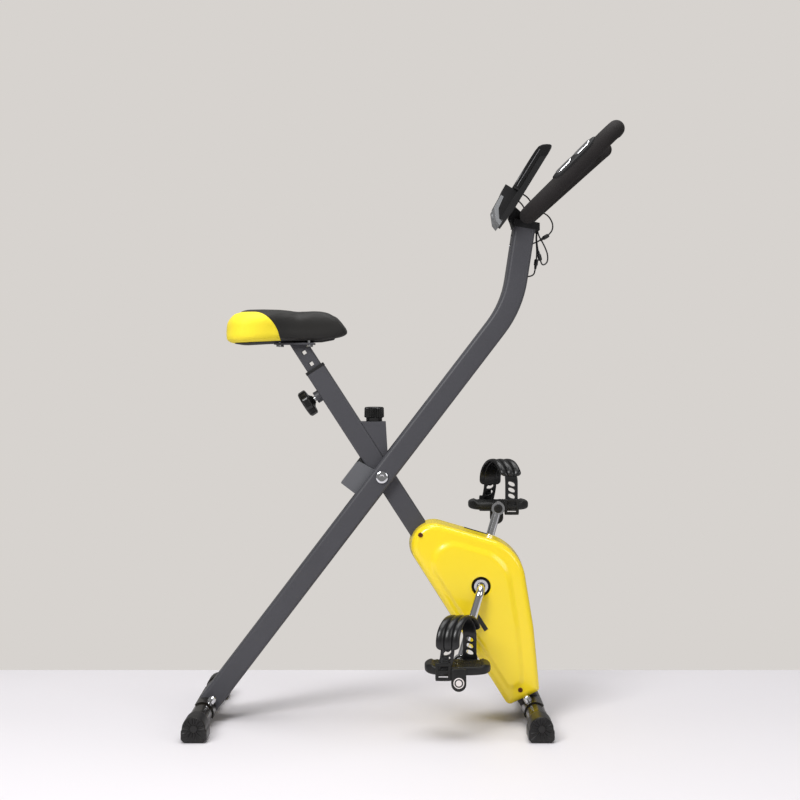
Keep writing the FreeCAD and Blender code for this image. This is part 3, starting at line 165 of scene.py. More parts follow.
floor_mesh = bpy.data.meshes.new("table_top")
side_edge, near_edge, far_edge = 2.6, -2.2, 0.468
floor_mesh.from_pydata([(-side_edge, near_edge, 0), (side_edge, near_edge, 0), (side_edge, far_edge, 0),
                        (-side_edge, far_edge, 0)], [], [(0, 1, 2, 3)])
floor = placed("table_top", floor_mesh)
paper, tree = blank("white_paper")
sheet = add(tree, "ShaderNodeBsdfPrincipled", {"Base Color": linear("#e9e6ea"), "Roughness": 0.6})
add(tree, "ShaderNodeOutputMaterial", {"Surface": sheet.outputs["BSDF"]})
floor_mesh.materials.append(paper)
floor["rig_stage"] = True

# Leads and plugs ----------------------------------------------------------------------------------
# Five short flexible leads in black PVC jackets, 2.8 mm thick, hang at the top of the post. They join
# the pulse sensors, the console and the drive's sensor through three moulded in-line plugs.


def blend(tree, factor, one, other):
    """The socket of one colour mixed with another by a factor."""
    return add(tree, "ShaderNodeMix", {"Factor": factor, "A": one, "B": other}, data_type="RGBA").outputs[2]


def finish(name, colour, tone, patch, grain, relief, roughness, spread=0.08, **sockets):
    """A finish whose colour drifts to a second tone over patches, under a grain in relief, sizes in mm.

    Noise of the patch's size mixes the two tones and shifts the roughness either way by the spread, and
    noise of the grain's size raises the surface by the relief. Other values go on the shader's own sockets.
    """
    made, tree = blank(name)
    where = add(tree, "ShaderNodeTexCoord").outputs["Object"]
    drift = add(tree, "ShaderNodeTexNoise", {"Vector": where, "Scale": 1 / (patch * MM), "Detail": 3.0})
    fine = add(tree, "ShaderNodeTexNoise", {"Vector": where, "Scale": 1 / (grain * MM), "Detail": 2.0})
    mixed = blend(tree, drift.outputs["Fac"], linear(colour), linear(tone))
    rough = add(tree, "ShaderNodeMapRange", {"Value": fine.outputs["Fac"], "To Min": roughness - spread,
                                             "To Max": roughness + spread})
    bump = add(tree, "ShaderNodeBump", {"Height": fine.outputs["Fac"], "Strength": 1.0,
                                        "Distance": relief * MM})
    shader = add(tree, "ShaderNodeBsdfPrincipled",
                 {"Base Color": mixed, "Roughness": rough.outputs["Result"],
                  "Normal": bump.outputs["Normal"], **sockets})
    add(tree, "ShaderNodeOutputMaterial", {"Surface": shader.outputs["BSDF"]})
    return made


def shown(name, mesh, coat, slot, body, *stands_for):
    """Puts a mesh in the scene with its finish and its body, and hides the nodes it stands for; the slot is
    not used.
    """
    piece = placed(name, mesh)
    mesh.materials.clear()
    mesh.materials.append(coat)
    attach(piece, body)
    if stands_for:
        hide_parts(*stands_for)
    return piece


def skin(name, grid, wrap=True, ends=True, flip=False, sharp=40):
    """A mesh over a grid of points: rows by columns, each four neighbours a face.

    With wrap, the last column joins the first. With ends, the first and last rows close on their middles.
    """
    rows, columns = grid.shape[:2]
    index = np.arange(rows * columns).reshape(rows, columns)
    around = np.concatenate([index, index[:, :1]], axis=1) if wrap else index
    quads = np.stack([around[:-1, :-1], around[:-1, 1:], around[1:, 1:], around[1:, :-1]], axis=-1)
    points = grid.reshape(-1, 3)
    faces = quads.reshape(-1, 4).tolist()
    if ends:
        points = np.concatenate([points, grid[:1].mean(axis=1), grid[-1:].mean(axis=1)])
        first, last = len(points) - 2, len(points) - 1
        start = np.stack([around[0, 1:], around[0, :-1], np.full(around.shape[1] - 1, first)], axis=-1)
        stop = np.stack([around[-1, :-1], around[-1, 1:], np.full(around.shape[1] - 1, last)], axis=-1)
        faces = faces + start.tolist() + stop.tolist()
    if flip:
        faces = [face[::-1] for face in faces]
    mesh = bpy.data.meshes.new(name)
    mesh.from_pydata(points.tolist(), [], faces)
    if ends:
        tidy = bmesh.new()
        tidy.from_mesh(mesh)
        bmesh.ops.remove_doubles(tidy, verts=tidy.verts, dist=1e-7)
        bmesh.ops.recalc_face_normals(tidy, faces=tidy.faces)
        tidy.to_mesh(mesh)
        tidy.free()
    mesh.shade_smooth()
    mesh.set_sharp_from_angle(angle=math.radians(sharp))
    return mesh


def crosswise(way):
    """Two unit vectors square to a direction and to each other, the first near +Y, or +X if that is it."""
    way = np.array(way, float) / np.linalg.norm(way)
    guide = np.array([0.0, 1.0, 0.0]) if abs(way[1]) < 0.9 else np.array([1.0, 0.0, 0.0])
    first = guide - way * (guide @ way)
    first = first / np.linalg.norm(first)
    return first, np.cross(way, first)


def rings(start, way, along, reach, angle):
    """Rings round an axis: how far along it each one is, and how far out it reaches at each angle."""
    first, second = crosswise(way)
    unit = np.array(way, float) / np.linalg.norm(way)
    ring = np.cos(angle)[:, None] * first + np.sin(angle)[:, None] * second
    return np.array(start) + along[:, None, None] * unit + reach[:, :, None] * ring


def turned(name, profile, start, way, sides=64, ribs=0, depth=0.0, ribbed=None):
    """A turned solid: radii at distances along an axis, each swept round it in a ring.

    Between the two distances of ribbed, the radius falls by the depth ribs times a turn, as a cosine.
    """
    profile = np.array(profile, float)
    along, radius = profile[:, 0], profile[:, 1]
    angle = np.linspace(0, 2 * np.pi, sides, endpoint=False)
    low, high = ribbed or (along.min(), along.max())
    in_ribs = ((along >= low - 1e-9) & (along <= high + 1e-9)).astype(float)
    cut = depth * (0.5 - 0.5 * np.cos(ribs * angle))
    reach = np.maximum(radius[:, None] - in_ribs[:, None] * cut[None, :], 0)
    return skin(name, rings(start, way, along, reach, angle))


def rounded(points, radius):
    """A profile with eased corners: each inner corner becomes a quadratic curve as long as the radius."""
    points = np.array(points, float)
    result = [points[:1]]
    share = np.linspace(0, 1, 5)[:, None]
    for before, corner, after in zip(points, points[1:], points[2:]):
        back, on = before - corner, after - corner
        cut = min(radius, np.linalg.norm(back) / 2, np.linalg.norm(on) / 2)
        start = corner + back / max(np.linalg.norm(back), 1e-9) * cut
        stop = corner + on / max(np.linalg.norm(on), 1e-9) * cut
        result.append(start * (1 - share) ** 2 + corner * 2 * share * (1 - share) + stop * share ** 2)
    result.append(points[-1:])
    return np.concatenate(result)


# Soft PVC: black, slightly glossy, with a faint dullness from handling.
jacket = finish("black_pvc_jacket", "#161617", "#1e1e20", 12, 0.5, 0.01, 0.42)
# Moulded PVC plugs: the same black, a little duller.
plug_pvc = finish("moulded_pvc_plug", "#131314", "#1b1b1c", 8, 0.4, 0.02, 0.5)
LEAD = 2.8 * MM
LEADS = {
    "pulse_lead": [(237, 40, 962.9), (247, 40, 969), (262, 36, 972), (276, 29, 964), (284, 22, 949),
                   (283.5, 16, 935), (275, 12, 924.5), (258, 6, 914), (248, 4, 908.5), (237, 4, 905.8)],
    "sensor_lead": [(251.5, -16, 930.3), (253, -16, 922), (259, -15, 912), (266, -13, 899),
                    (271.5, -11, 885), (271, -9, 870), (261.5, -8, 864.5), (257.5, -8, 874),
                    (253, -7, 893), (251, -7, 907),
                    (250, -6, 919), (251.5, -6, 930.3)],
    "speed_lead": [(251.5, 7, 930.3), (250.5, 8, 920), (251.5, 9, 907), (252.2, 9, 892), (251.5, 9, 878),
                   (249, 8, 859), (247, 8, 849), (240.5, 8, 845.2), (233.5, 8, 844.6), (227, 8, 844.8)],
    "console_lead_a": [(217.3, 12, 990), (223.5, 14, 985), (228.5, 20, 978), (231, 28, 971),
                       (230.5, 36, 966)],
    "console_lead_b": [(223.6, -14, 1000.3), (230.5, -15, 996), (236.5, -18, 988.5), (240, -22, 979.5),
                       (238.5, -26, 971), (234, -30, 964.9)],
}
PLUGS = {"pulse_lead": (6, 7), "sensor_lead": (7, 8), "speed_lead": (4, 5)}
for name, route in LEADS.items():
    if name in PLUGS:
        start, end = (np.array(route[number]) * MM for number in PLUGS[name])
        span = np.linalg.norm(end - start)
        share = np.array([0, 0.02, 0.12, 0.58, 0.64, 0.68, 0.74, 0.78, 0.84, 0.88, 0.96, 1.0])
        radius = np.array([1.5, 3.2, 3.9, 3.9, 3.1, 2.3, 2.9, 2.2, 2.7, 2.1, 2.5, 1.5]) * MM
        plug = turned(name + "_plug", np.stack([share * span, radius], axis=1), start, end - start, 32)
        shown(name + "_plug", plug, plug_pvc, "black_plastic", "handlebar_post", "lead_plugs")
    curve = bpy.data.curves.new(name + "_cord", "CURVE")
    curve.dimensions = "3D"
    curve.bevel_depth = LEAD / 2
    curve.bevel_resolution = 6
    curve.resolution_u = 10
    curve.use_fill_caps = True
    line = curve.splines.new("NURBS")
    line.points.add(len(route) - 1)
    weighted = np.concatenate([np.array(route) * MM, np.ones((len(route), 1))], axis=1)
    line.points.foreach_set("co", weighted.ravel())
    line.order_u = 3
    line.use_endpoint_u = True
    curve.materials.append(jacket)
    lead = placed(name + "_cord", curve)
    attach(lead, "handlebar_post")
    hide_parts(name)

# Tubes, brackets and plates -----------------------------------------------------------------------
# Welded steel: the square seat tube, the bent post with its slot, the stop bracket, the knob's bracket
# and the seat's own post and plate. All are powder coated dark grey, the stop bracket a lighter grey.


def refined(node, coat, slot, edge):
    """A copy of a node's mesh: doubles merged, flat faces joined, and edges eased by a bevel in mm."""
    sharp = math.radians(35)
    tidy = bmesh.new()
    tidy.from_mesh(frame["nodes"][node].data)
    bmesh.ops.remove_doubles(tidy, verts=tidy.verts, dist=2e-6)
    bmesh.ops.dissolve_limit(tidy, angle_limit=math.radians(0.6), verts=tidy.verts, edges=tidy.edges)
    mesh = bpy.data.meshes.new("fine_" + node)
    tidy.to_mesh(mesh)
    tidy.free()
    if "custom_normal" in mesh.attributes:
        mesh.attributes.remove(mesh.attributes["custom_normal"])
    mesh.shade_smooth()
    mesh.set_sharp_from_angle(angle=sharp)
    piece = shown("fine_" + node, mesh, coat, slot, frame["nodes"][node]["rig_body"], node)
    if edge:
        ease = piece.modifiers.new("eased_edges", "BEVEL")
        ease.width = edge * MM
        ease.segments = 2
        ease.limit_method = "ANGLE"
        ease.angle_limit = sharp
        ease.harden_normals = True
    return piece


# Polyester powder coat: a dark grey with a soft sheen and the fine orange peel of baked powder, whose
# bumps are drawn 1.4 mm across so that they show.
powder = finish("powder_coated_steel", "#434347", "#48484d", 60, 1.4, 0.03, 0.42, 0.06,
                **{"Specular IOR Level": 0.35})
grey_powder = finish("grey_powder_coated_steel", "#595a5e", "#616266", 60, 1.4, 0.03, 0.4, 0.06)
for node in ("seat_tube", "post_tube", "seat_post", "seat_plate", "knob_bracket", "crank_shell",
             "flywheel_bracket"):
    refined(node, powder, "powder_coat", 0.8)
refined("stop_bracket", grey_powder, "bracket_coat", 0.8)
# Injection moulded nylon: black, fine grained, satin.
nylon = finish("moulded_black_nylon", "#171718", "#1e1e1f", 20, 0.7, 0.03, 0.5,
               **{"Specular IOR Level": 0.3})
refined("seat_bush", nylon, "black_plastic", 0.8)
rubber = finish("black_rubber", "#161616", "#1d1d1d", 15, 0.6, 0.03, 0.75)
refined("stop_buffer", rubber, "rubber", 0.8)

# Pivot bolt ---------------------------------------------------------------------------------------
# A chromed cap bolt through both tubes, with a low domed head and a hexagon socket, and a domed nut on
# its other end. The screws of the console's mount are the same bright steel.


def joint_at(name):
    """Where one of the frame's joints is, in metres."""
    return np.array([joint["pos_m"] for joint in frame["joints"] if joint["name"] == name][0])


def bolt_head(name, middle, way, radius, height, socket, coat, slot, body, *stands_for):
    """A low domed head whose rings step down into a six-sided socket at its middle."""
    out = np.array([[0, radius * 0.97], [height * 0.45, radius], [height * 0.8, radius * 0.93],
                    [height * 0.97, radius * 0.78], [height, radius * 0.62], [height, socket * 1.14]])
    profile = np.concatenate([[[0, 0.0001]], out, [[height * 0.96, socket], [height * 0.3, socket],
                                                   [height * 0.25, 0.0001]]])
    angle = np.linspace(0, 2 * np.pi, 96, endpoint=False)
    six = np.cos(np.pi / 6) / np.cos((angle % (np.pi / 3)) - np.pi / 6)
    shape = np.where(profile[:, 1:2] <= socket * 1.01, six[None, :], 1.0)
    grid = rings(middle, way, profile[:, 0], profile[:, 1:2] * shape, angle)
    return shown(name, skin(name, grid, sharp=32), coat, slot, body, *stands_for)


# Bright chromium plate: mirror-like, with faint ripples from the polish.
chrome = finish("bright_chrome_plate", "#d9dadc", "#cfd0d3", 25, 4.0, 0.006, 0.1, 0.04, Metallic=1.0)
# Zinc-plated and turned steel: bright but satin.
steel = finish("zinc_plated_steel", "#a9aaab", "#9a9b9c", 14, 0.9, 0.01, 0.32, 0.08, Metallic=1.0)
pivot = joint_at("fold")
post_half = 40 * MM
bolt_head("pivot_bolt_head", pivot - np.array([0, post_half, 0]), (0, -1, 0), 12 * MM, 5.5 * MM, 4.2 * MM,
          chrome, "chrome", "handlebar_post", "pivot_bolt")
nut = turned("pivot_nut", rounded([(0, 0), (0, 11.5), (8, 11.5), (9.5, 9), (12, 6.5), (14, 0)], 1.2) * MM,
             pivot + np.array([0, post_half, 0]), (0, 1, 0), 48)
shown("pivot_nut", nut, chrome, "chrome", "handlebar_post", "pivot_bolt")
refined("console_screws", chrome, "chrome", 0.5)

# Feet ---------------------------------------------------------------------------------------------
# Two round stabiliser tubes in gloss black enamel. Each hangs from a curved saddle plate by two bolts
# with domed nuts, and wears two moulded end caps with ribbed faces on square pads.
enamel = finish("gloss_black_enamel", "#14110c", "#1a1610", 50, 3.0, 0.008, 0.24, 0.05,
                **{"Specular IOR Level": 0.45})
for node in ("front_stabiliser", "rear_stabiliser", "front_saddle", "rear_saddle"):
    refined(node, enamel, "gloss_black_tube", 0.5)
for node in ("front_foot_bolts", "rear_foot_bolts"):
    refined(node, chrome, "chrome", 0.5)


def end_cap(name, centre, side):
    """A cap on a tube's end: rings from its inner edge out over its face, blended from round to its pad.

    Each ring is a circle whose lower part is pulled out to a rounded square pad on the floor. The face
    has fourteen ribs, cosine waves of the angle that fade at its rim and its boss.
    """
    angle = np.linspace(-np.pi / 2, 1.5 * np.pi, 192, endpoint=False)
    half_pad, drop = 23.5 * MM, centre[2]
    radius = 21.5 * MM
    across, upward = np.cos(angle), np.sin(angle)
    square = np.minimum(half_pad / np.maximum(np.abs(across), 1e-6), drop / np.maximum(-upward, 1e-6))
    square = np.minimum(square, 30.5 * MM)
    low = 1 / (1 + np.exp((upward + 0.12) * 26))
    outline = radius + (np.maximum(square, radius) - radius) * low
    stations = np.array([(0, 0.9), (0, 0.985), (1, 1.0), (10, 1.0), (30, 1.0), (48, 1.0), (50.5, 0.985),
                         (52, 0.94), (52, 0.9), (50.6, 0.87), (50.6, 0.6), (50.6, 0.4), (50.6, 0.34),
                         (52, 0.3), (52.2, 0.18), (52.2, 0.02)])
    share = stations[:, 1]
    on_face = ((share > 0.35) & (share < 0.88))[:, None]
    ribs = 2.0 * MM * np.clip(np.cos(14 * angle), 0, 1)[None, :] * on_face
    reach = outline[None, :] * share[:, None]
    inner = share[:, None] < 0.88
    reach = np.where(inner, radius * share[:, None], reach)
    along = stations[:, :1] * MM + ribs
    start = side * (208 - 52) * MM
    grid = np.stack([centre[0] + reach * across, np.broadcast_to(start + side * along, reach.shape),
                     centre[2] + reach * upward], axis=-1)
    return skin(name, grid, sharp=30)


# Polypropylene caps: black, moulded with a fine spark grain.
cap_plastic = finish("moulded_black_polypropylene", "#161515", "#1d1c1c", 18, 0.8, 0.04, 0.4,
                     **{"Specular IOR Level": 0.4})
for end in ("front", "rear"):
    low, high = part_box(end + "_stabiliser")
    centre = np.array([(low.x + high.x) / 2, 0, (low.z + high.z) / 2])
    for side, label in ((RIGHT, "right"), (LEFT, "left")):
        cap = end_cap(f"{end}_{label}_cap", centre, side)
        shown(f"{end}_{label}_cap", cap, cap_plastic, "black_plastic",
              "main_frame" if end == "front" else "handlebar_post", end + "_end_caps")

# Casing -------------------------------------------------------------------------------------------
# Two halves of gloss yellow ABS, injection moulded 2.5 mm thick, screwed together over the drive. Each has
# a rounded edge, a flat rim and a raised panel, and a round opening for the crank.
CORNERS = np.array([(-54.0, 416.6), (216.4, 338.0), (241.0, 187.0), (253.2, 59.0), (191.9, 29.8)])
ROUNDING = np.array([46.0, 88.0, 160.0, 10.0, 12.0])
RIM, FACE = 49.3, 54.0
TOP_IN = np.array([3.2, 0, 0, 0, 0])
crank_at = joint_at("crank_turn")


def thickened(piece, name, thickness, offset):
    """Gives a sheet a thickness in mm: outwards at an offset of 1, inwards at -1 and both ways at 0."""
    wall = piece.modifiers.new(name, "SOLIDIFY")
    wall.thickness = thickness * MM
    wall.offset = offset


def casing_outline(insets, rounding):
    """The casing's outline in side view, each side moved in by its own distance and each corner rounded.

    The moved sides are cut with their neighbours for the new corners. A corner's arc has 20 steps, and a
    straight side 14, so that every such outline has the same number of points, in step with one another.
    """
    ahead = np.roll(CORNERS, -1, axis=0)
    way = (ahead - CORNERS) / np.linalg.norm(ahead - CORNERS, axis=1)[:, None]
    inward = np.stack([way[:, 1], -way[:, 0]], axis=1)
    base = CORNERS + inward * np.array(insets)[:, None]
    before, before_way = np.roll(base, 1, axis=0), np.roll(way, 1, axis=0)
    gap = base - before
    cross = before_way[:, 0] * way[:, 1] - before_way[:, 1] * way[:, 0]
    step = (gap[:, 0] * way[:, 1] - gap[:, 1] * way[:, 0]) / cross
    corner = before + before_way * step[:, None]
    turn = np.arccos(np.clip((before_way * way).sum(axis=1), -1, 1))
    reach = np.array(rounding) * np.tan(turn / 2)
    centre = corner + (way - before_way) / np.linalg.norm(way - before_way, axis=1)[:, None] * (
        np.array(rounding) / np.cos(turn / 2))[:, None]
    start = corner - before_way * reach[:, None]
    share = np.linspace(0, 1, 21)[None, :]
    first = np.arctan2(start[:, 1] - centre[:, 1], start[:, 0] - centre[:, 0])[:, None]
    angle = first - turn[:, None] * share
    ring = np.stack([np.cos(angle), np.sin(angle)], axis=-1)
    arcs = centre[:, None, :] + np.array(rounding)[:, None, None] * ring
    stop = arcs[:, -1]
    following = np.roll(arcs[:, 0], -1, axis=0)
    along = np.linspace(0, 1, 15)[1:-1][None, :, None]
    sides = stop[:, None, :] * (1 - along) + following[:, None, :] * along
    return np.concatenate([arcs, sides], axis=1).reshape(-1, 2)


def casing_half(name, side):
    """Half a casing: rings from the seam round the edge, over the rim and the panel's slope, to the hub.

    The outline draws in with the distance from the seam, most at the top, so that the half leaves its
    mould. The edge is a quarter circle of 12 mm. The panel's slope eases up as a smooth step, and its face
    is straight between its outline and a ring round the hub, which then turns in as the opening's lip.
    """
    one = np.ones(5)
    panel = np.array([40.0, 38.0, 38.0, 36.0, 26.0])
    panel_round = np.array([34.0, 62.0, 140.0, 14.0, 10.0])
    lean = np.array([0.11, 0.015, 0.0, 0.03, 0.07])
    loops = [(casing_outline(TOP_IN + one * 0.7, ROUNDING - 0.7), 0.3)]
    for depth in (1.2, 6.0, 12.0, 18.0, 24.0, 30.0, RIM - 12.6):
        loops.append((casing_outline(TOP_IN + lean * depth, np.maximum(ROUNDING - depth / 14, 3)), depth))
    for degrees in np.linspace(0, 90, 11):
        depth = RIM - 12 * (1 - math.sin(math.radians(degrees)))
        inset = 12 * (1 - math.cos(math.radians(degrees)))
        loops.append((casing_outline(TOP_IN + lean * min(depth, RIM - 6) + inset,
                                     np.maximum(ROUNDING - inset - 2.6, 1.5)), depth))
    slope = np.array([13.0, 13.0, 13.0, 12.0, 8.0])
    for share in np.linspace(0, 1, 12):
        inset = panel - slope * (1 - share)
        rise = share * share * (3 - 2 * share)
        loops.append((casing_outline(inset, np.maximum(panel_round + slope * (1 - share) * 0.5, 3)),
                      RIM + (FACE - RIM) * rise))
    outline = loops[-1][0]
    hub = crank_at[[0, 2]] / MM
    spoke = outline - hub
    distance = np.linalg.norm(spoke, axis=1)[:, None]
    for share in np.linspace(0, 1, 14)[1:]:
        reach = distance * (1 - share) + 20.0 * share
        loops.append((hub + spoke / distance * reach, FACE))
    for radius, below in ((19.0, 0.2), (18.3, 0.8), (18.0, 1.8), (18.0, 4.0)):
        loops.append((hub + spoke / distance * radius, FACE - below))
    grid = np.stack([np.concatenate([ring, np.full((len(ring), 1), depth)], axis=1)
                     for ring, depth in loops])
    grid = np.stack([grid[:, :, 0], side * grid[:, :, 2], grid[:, :, 1]], axis=-1) * MM
    return skin(name, grid, ends=False, flip=side == RIGHT, sharp=60)


# Gloss ABS: a strong warm yellow with a moulded skin, so faintly rippled every 18 mm or so.
yellow_abs = finish("gloss_yellow_abs", "#fadb1f", "#fbdf28", 120, 18.0, 0.05, 0.22, 0.03,
                    **{"Coat Weight": 0.35, "Coat Roughness": 0.1, "Subsurface Weight": 0.04,
                       "Subsurface Radius": (0.01, 0.006, 0.001)})
for side, label in ((RIGHT, "right"), (LEFT, "left")):
    name = f"{label}_cover"
    half = shown(name, casing_half(name, side), yellow_abs, "yellow_shell", "main_frame", f"{label}_casing")
    thickened(half, "wall", 2.5, -1)

# Casing screws: pan heads in browned steel, each with a cross recess, standing on the rim.
browned = finish("browned_steel", "#5a2c16", "#6b3a1e", 4, 0.5, 0.02, 0.4, 0.08, Metallic=0.6)
for side, label in ((RIGHT, "right"), (LEFT, "left")):
    for number, (x, z) in enumerate(((27.9, 354.7), (216.0, 62.8))):
        spot = np.array([x, side * (RIM - 0.3), z]) * MM
        bolt_head(f"{label}_screw_{number + 1}", spot, (0, side, 0), 4.6 * MM, 2.4 * MM, 1.7 * MM, browned,
                  "steel", "main_frame", "casing_screws")

# A plain dark foil strip is stuck on each half beside the crank.
foil = finish("dark_foil_strip", "#191813", "#221f16", 6, 0.6, 0.01, 0.35)
angle = math.radians(-57)
for side, label in ((RIGHT, "right"), (LEFT, "left")):
    row, column = np.meshgrid(np.linspace(-16.5, 16.5, 24), np.linspace(-4.2, 4.2, 8), indexing="ij")
    x = 142.8 + row * math.cos(angle) - column * math.sin(angle)
    z = 190.0 + row * math.sin(angle) + column * math.cos(angle)
    grid = np.stack([x, np.full_like(x, side * (FACE + 0.05)), z], axis=-1) * MM
    mesh = skin(f"{label}_strip", grid, wrap=False, ends=False, flip=side == RIGHT)
    thickened(shown(f"{label}_strip", mesh, foil, "black_plastic", "main_frame"), "foil", 0.25, 1)

# Another strip lies across the seam on top, following the top's slope and draft.
x, y = np.meshgrid(np.linspace(112, 156, 24), np.linspace(-9, 9, 13), indexing="ij")
z = CORNERS[0, 1] - (x - CORNERS[0, 0]) * 0.2907 - 3.33 - np.abs(y) * 0.1145 + 0.15
mesh = skin("top_strip", np.stack([x, y, z], axis=-1) * MM, wrap=False, ends=False)
thickened(shown("top_strip", mesh, foil, "black_plastic", "main_frame"), "foil", 0.25, 1)

# Crank and the drive inside -----------------------------------------------------------------------
# A one-piece crank of chromed bar with cone nuts, in ball bearings. Behind it are a moulded belt pulley, a
# ribbed rubber belt, an iron flywheel on its steel shaft and the magnet arm.
refined("crank", chrome, "chrome", 0.5)
for node, body_slot in (("bearings", "steel"), ("pedal_axles", "steel"), ("flywheel_shaft", "steel"),
                        ("magnet_arm", "steel"), ("seat_bolts", "steel")):
    refined(node, steel, body_slot, 0.3)
refined("crank_pulley", nylon, "black_plastic", 0.5)
for side, label in ((RIGHT, "right"), (LEFT, "left")):
    end_at = joint_at(f"{label}_pedal_turn") * (1, 0, 1) + np.array([0, side * 79.6, 0]) * MM
    bolt_head(f"{label}_axle_end", end_at, (0, -side, 0), 8.6 * MM, 1.6 * MM, 3.6 * MM, nylon, "steel",
              "crank_set")
iron = finish("painted_cast_iron", "#2b2c2e", "#353638", 20, 1.2, 0.08, 0.55)
refined("flywheel", iron, "cast_iron", 0.8)
refined("drive_belt", rubber, "belt_rubber", 0.0)
refined("tension_cable", jacket, "cord_black", 0.0)

# Pedals -------------------------------------------------------------------------------------------
# Moulded platform pedals with a studded tread. A slotted strap arches over the foot from a ladder buckle on
# the outside, with a ribbed pad over the instep, and a balance weight hangs outside to keep the tread up.


def pedal_platform(name, middle):
    """A boat-shaped platform: rings from the middle of the tread out over the edge and back underneath.

    The plan is a superellipse. The height eases down by the eighth power of the distance along it, after a
    smooth step up to a raised lip at either end, and the tread carries studs where the product of two
    sines of the place is above zero.
    """
    angle = np.linspace(0, 2 * np.pi, 240, endpoint=False)
    power = 2 / 3.3
    plan_x = 60 * np.sign(np.cos(angle)) * np.abs(np.cos(angle)) ** power
    plan_y = 42 * np.sign(np.sin(angle)) * np.abs(np.sin(angle)) ** power
    tread = np.stack([np.linspace(0.03, 0.93, 44), np.full(44, 7.0)], axis=1)
    rest = np.array([(0.96, 6.6), (0.985, 5.4), (0.997, 3.6), (1.0, 1.0), (0.998, -3.4), (0.985, -6.2),
                     (0.955, -7.7), (0.92, -8.1), (0.9, -6.0), (0.7, -5.6), (0.3, -5.4), (0.04, -5.4)])
    profile = np.concatenate([tread, rest])
    x = profile[:, :1] * plan_x
    y = profile[:, :1] * plan_y * (1 - 0.1 * (profile[:, :1] * plan_x / 60) ** 2)
    step = np.clip((np.abs(x) - 41) / 7, 0, 1)
    lip = 3.6 * step * step * (3 - 2 * step) * (profile[:, 1:] > 0)
    fall = 1 - 0.32 * np.abs(x / 60) ** 8
    stud = np.clip(np.sin(x * 2 * np.pi / 6.4) * np.sin(y * 2 * np.pi / 6.4), 0, 0.55)
    on_tread = (profile[:, :1] > 0.1) & (profile[:, :1] < 0.92) & (profile[:, 1:] >= 7.0)
    z = (profile[:, 1:] + lip) * fall + 1.7 * stud * on_tread * (1 - step)
    return skin(name, np.stack([x, y, z], axis=-1) * MM + middle, sharp=50)


# How a strap sits on its own side: how far its middle is ahead of the axle, how much it slants, and how
# high its legs stand before they turn, in mm.
SITS = {RIGHT: (-5.0, 0.56, 52.0), LEFT: (9.5, 0.49, 49.5)}
# Half the width between a strap's legs, and how far below the axle they start, in mm.
HALF, FOOT = 38.5, -8.0


def strap_place(middle, side, share, lift, across):
    """Points of the arch: two upright legs joined by a half circle, slanting forwards to the inside.

    Share runs from the outer leg's foot at 0 to the inner leg's foot at 1, lift is how far the point stands
    off the arch's line, and across is how far it is along the bike from the strap's middle, in mm. The
    outer leg's lower part leans back to its buckle.
    """
    ahead, slant, leg = SITS[side]
    upright = leg - FOOT
    arc = np.pi * HALF
    travel = share * (2 * upright + arc)
    turn = np.clip((travel - upright) / HALF, 0, np.pi)
    out = np.cos(turn) * (HALF + lift)
    up = leg + np.sin(turn) * (HALF + lift)
    up = np.where(travel < upright, FOOT + travel, up)
    up = np.where(travel > upright + arc, leg - (travel - upright - arc), up)
    lean = -8 * (1 - np.clip((travel - 8) / 40, 0, 1)) ** 1.5
    along = ahead - slant * np.cos(turn) * HALF + across + lean
    return np.stack([middle[0] + along * MM, middle[1] + side * out * MM, middle[2] + up * MM], axis=-1)


def strap_band(name, middle, side):
    """The slotted band: a coarse sheet along the arch with its slots left out, in step with its rows."""
    outer = np.array([0, 8, 15, 23, 27, 35, 39, 47, 53])
    inner = np.array([0, 9, 18, 26, 34, 38, 46, 50, 58, 64])
    length = 2 * (SITS[side][2] - FOOT) + np.pi * HALF
    rows = np.concatenate([outer, np.linspace(59, length - 70, 12), length - inner[::-1]]) / length
    columns = np.array([-12.8, -6.6, 6.6, 12.8])
    share, across = np.meshgrid(rows, columns, indexing="ij")
    tilt = 0.34 * across / length * (np.abs(share - 0.5) > 0.2) * (np.abs(share - 0.5) < 0.46)
    grid = strap_place(middle, side, share + tilt, np.zeros_like(share), across)
    index = np.arange(grid.shape[0] * 4).reshape(-1, 4)
    quads = np.stack([index[:-1, :-1], index[:-1, 1:], index[1:, 1:], index[1:, :-1]], axis=-1)
    slotted = np.zeros(quads.shape[:2], bool)
    slotted[[2, 4, 6, -4, -6, -8], 1] = True
    mesh = bpy.data.meshes.new(name)
    faces = quads[~slotted].reshape(-1, 4)
    mesh.from_pydata(grid.reshape(-1, 3).tolist(), [], (faces if side == LEFT else faces[:, ::-1]).tolist())
    mesh.shade_smooth()
    return mesh


def strap_pad(name, middle, side):
    """The instep pad: closed rings carried along the arch, three rounded ribs over a flat back."""
    share = np.linspace(0.2, 0.705, 90)
    reach = np.minimum(share - share[0], share[-1] - share) / 0.035
    swell = np.sqrt(np.clip(1 - (1 - np.clip(reach, 0.02, 1)) ** 2, 0, 1))
    over = np.linspace(-1, 1, 61)
    rib = 1.7 + 3.1 * np.abs(np.sin(1.5 * np.pi * (over + 1))) ** 0.55
    rib = rib * np.clip((1 - np.abs(over)) * 14, 0, 1) ** 0.5
    across = np.concatenate([over, np.linspace(1, -1, 25)[1:-1]])
    lift = np.concatenate([rib, np.full(23, -1.4)])
    width = 21.5 * (0.62 + 0.38 * swell)
    grid = strap_place(middle, side, np.repeat(share[:, None], len(across), axis=1),
                       1.2 + lift[None, :] * (0.3 + 0.7 * swell[:, None]), across[None, :] * width[:, None])
    return skin(name, grid, sharp=50)


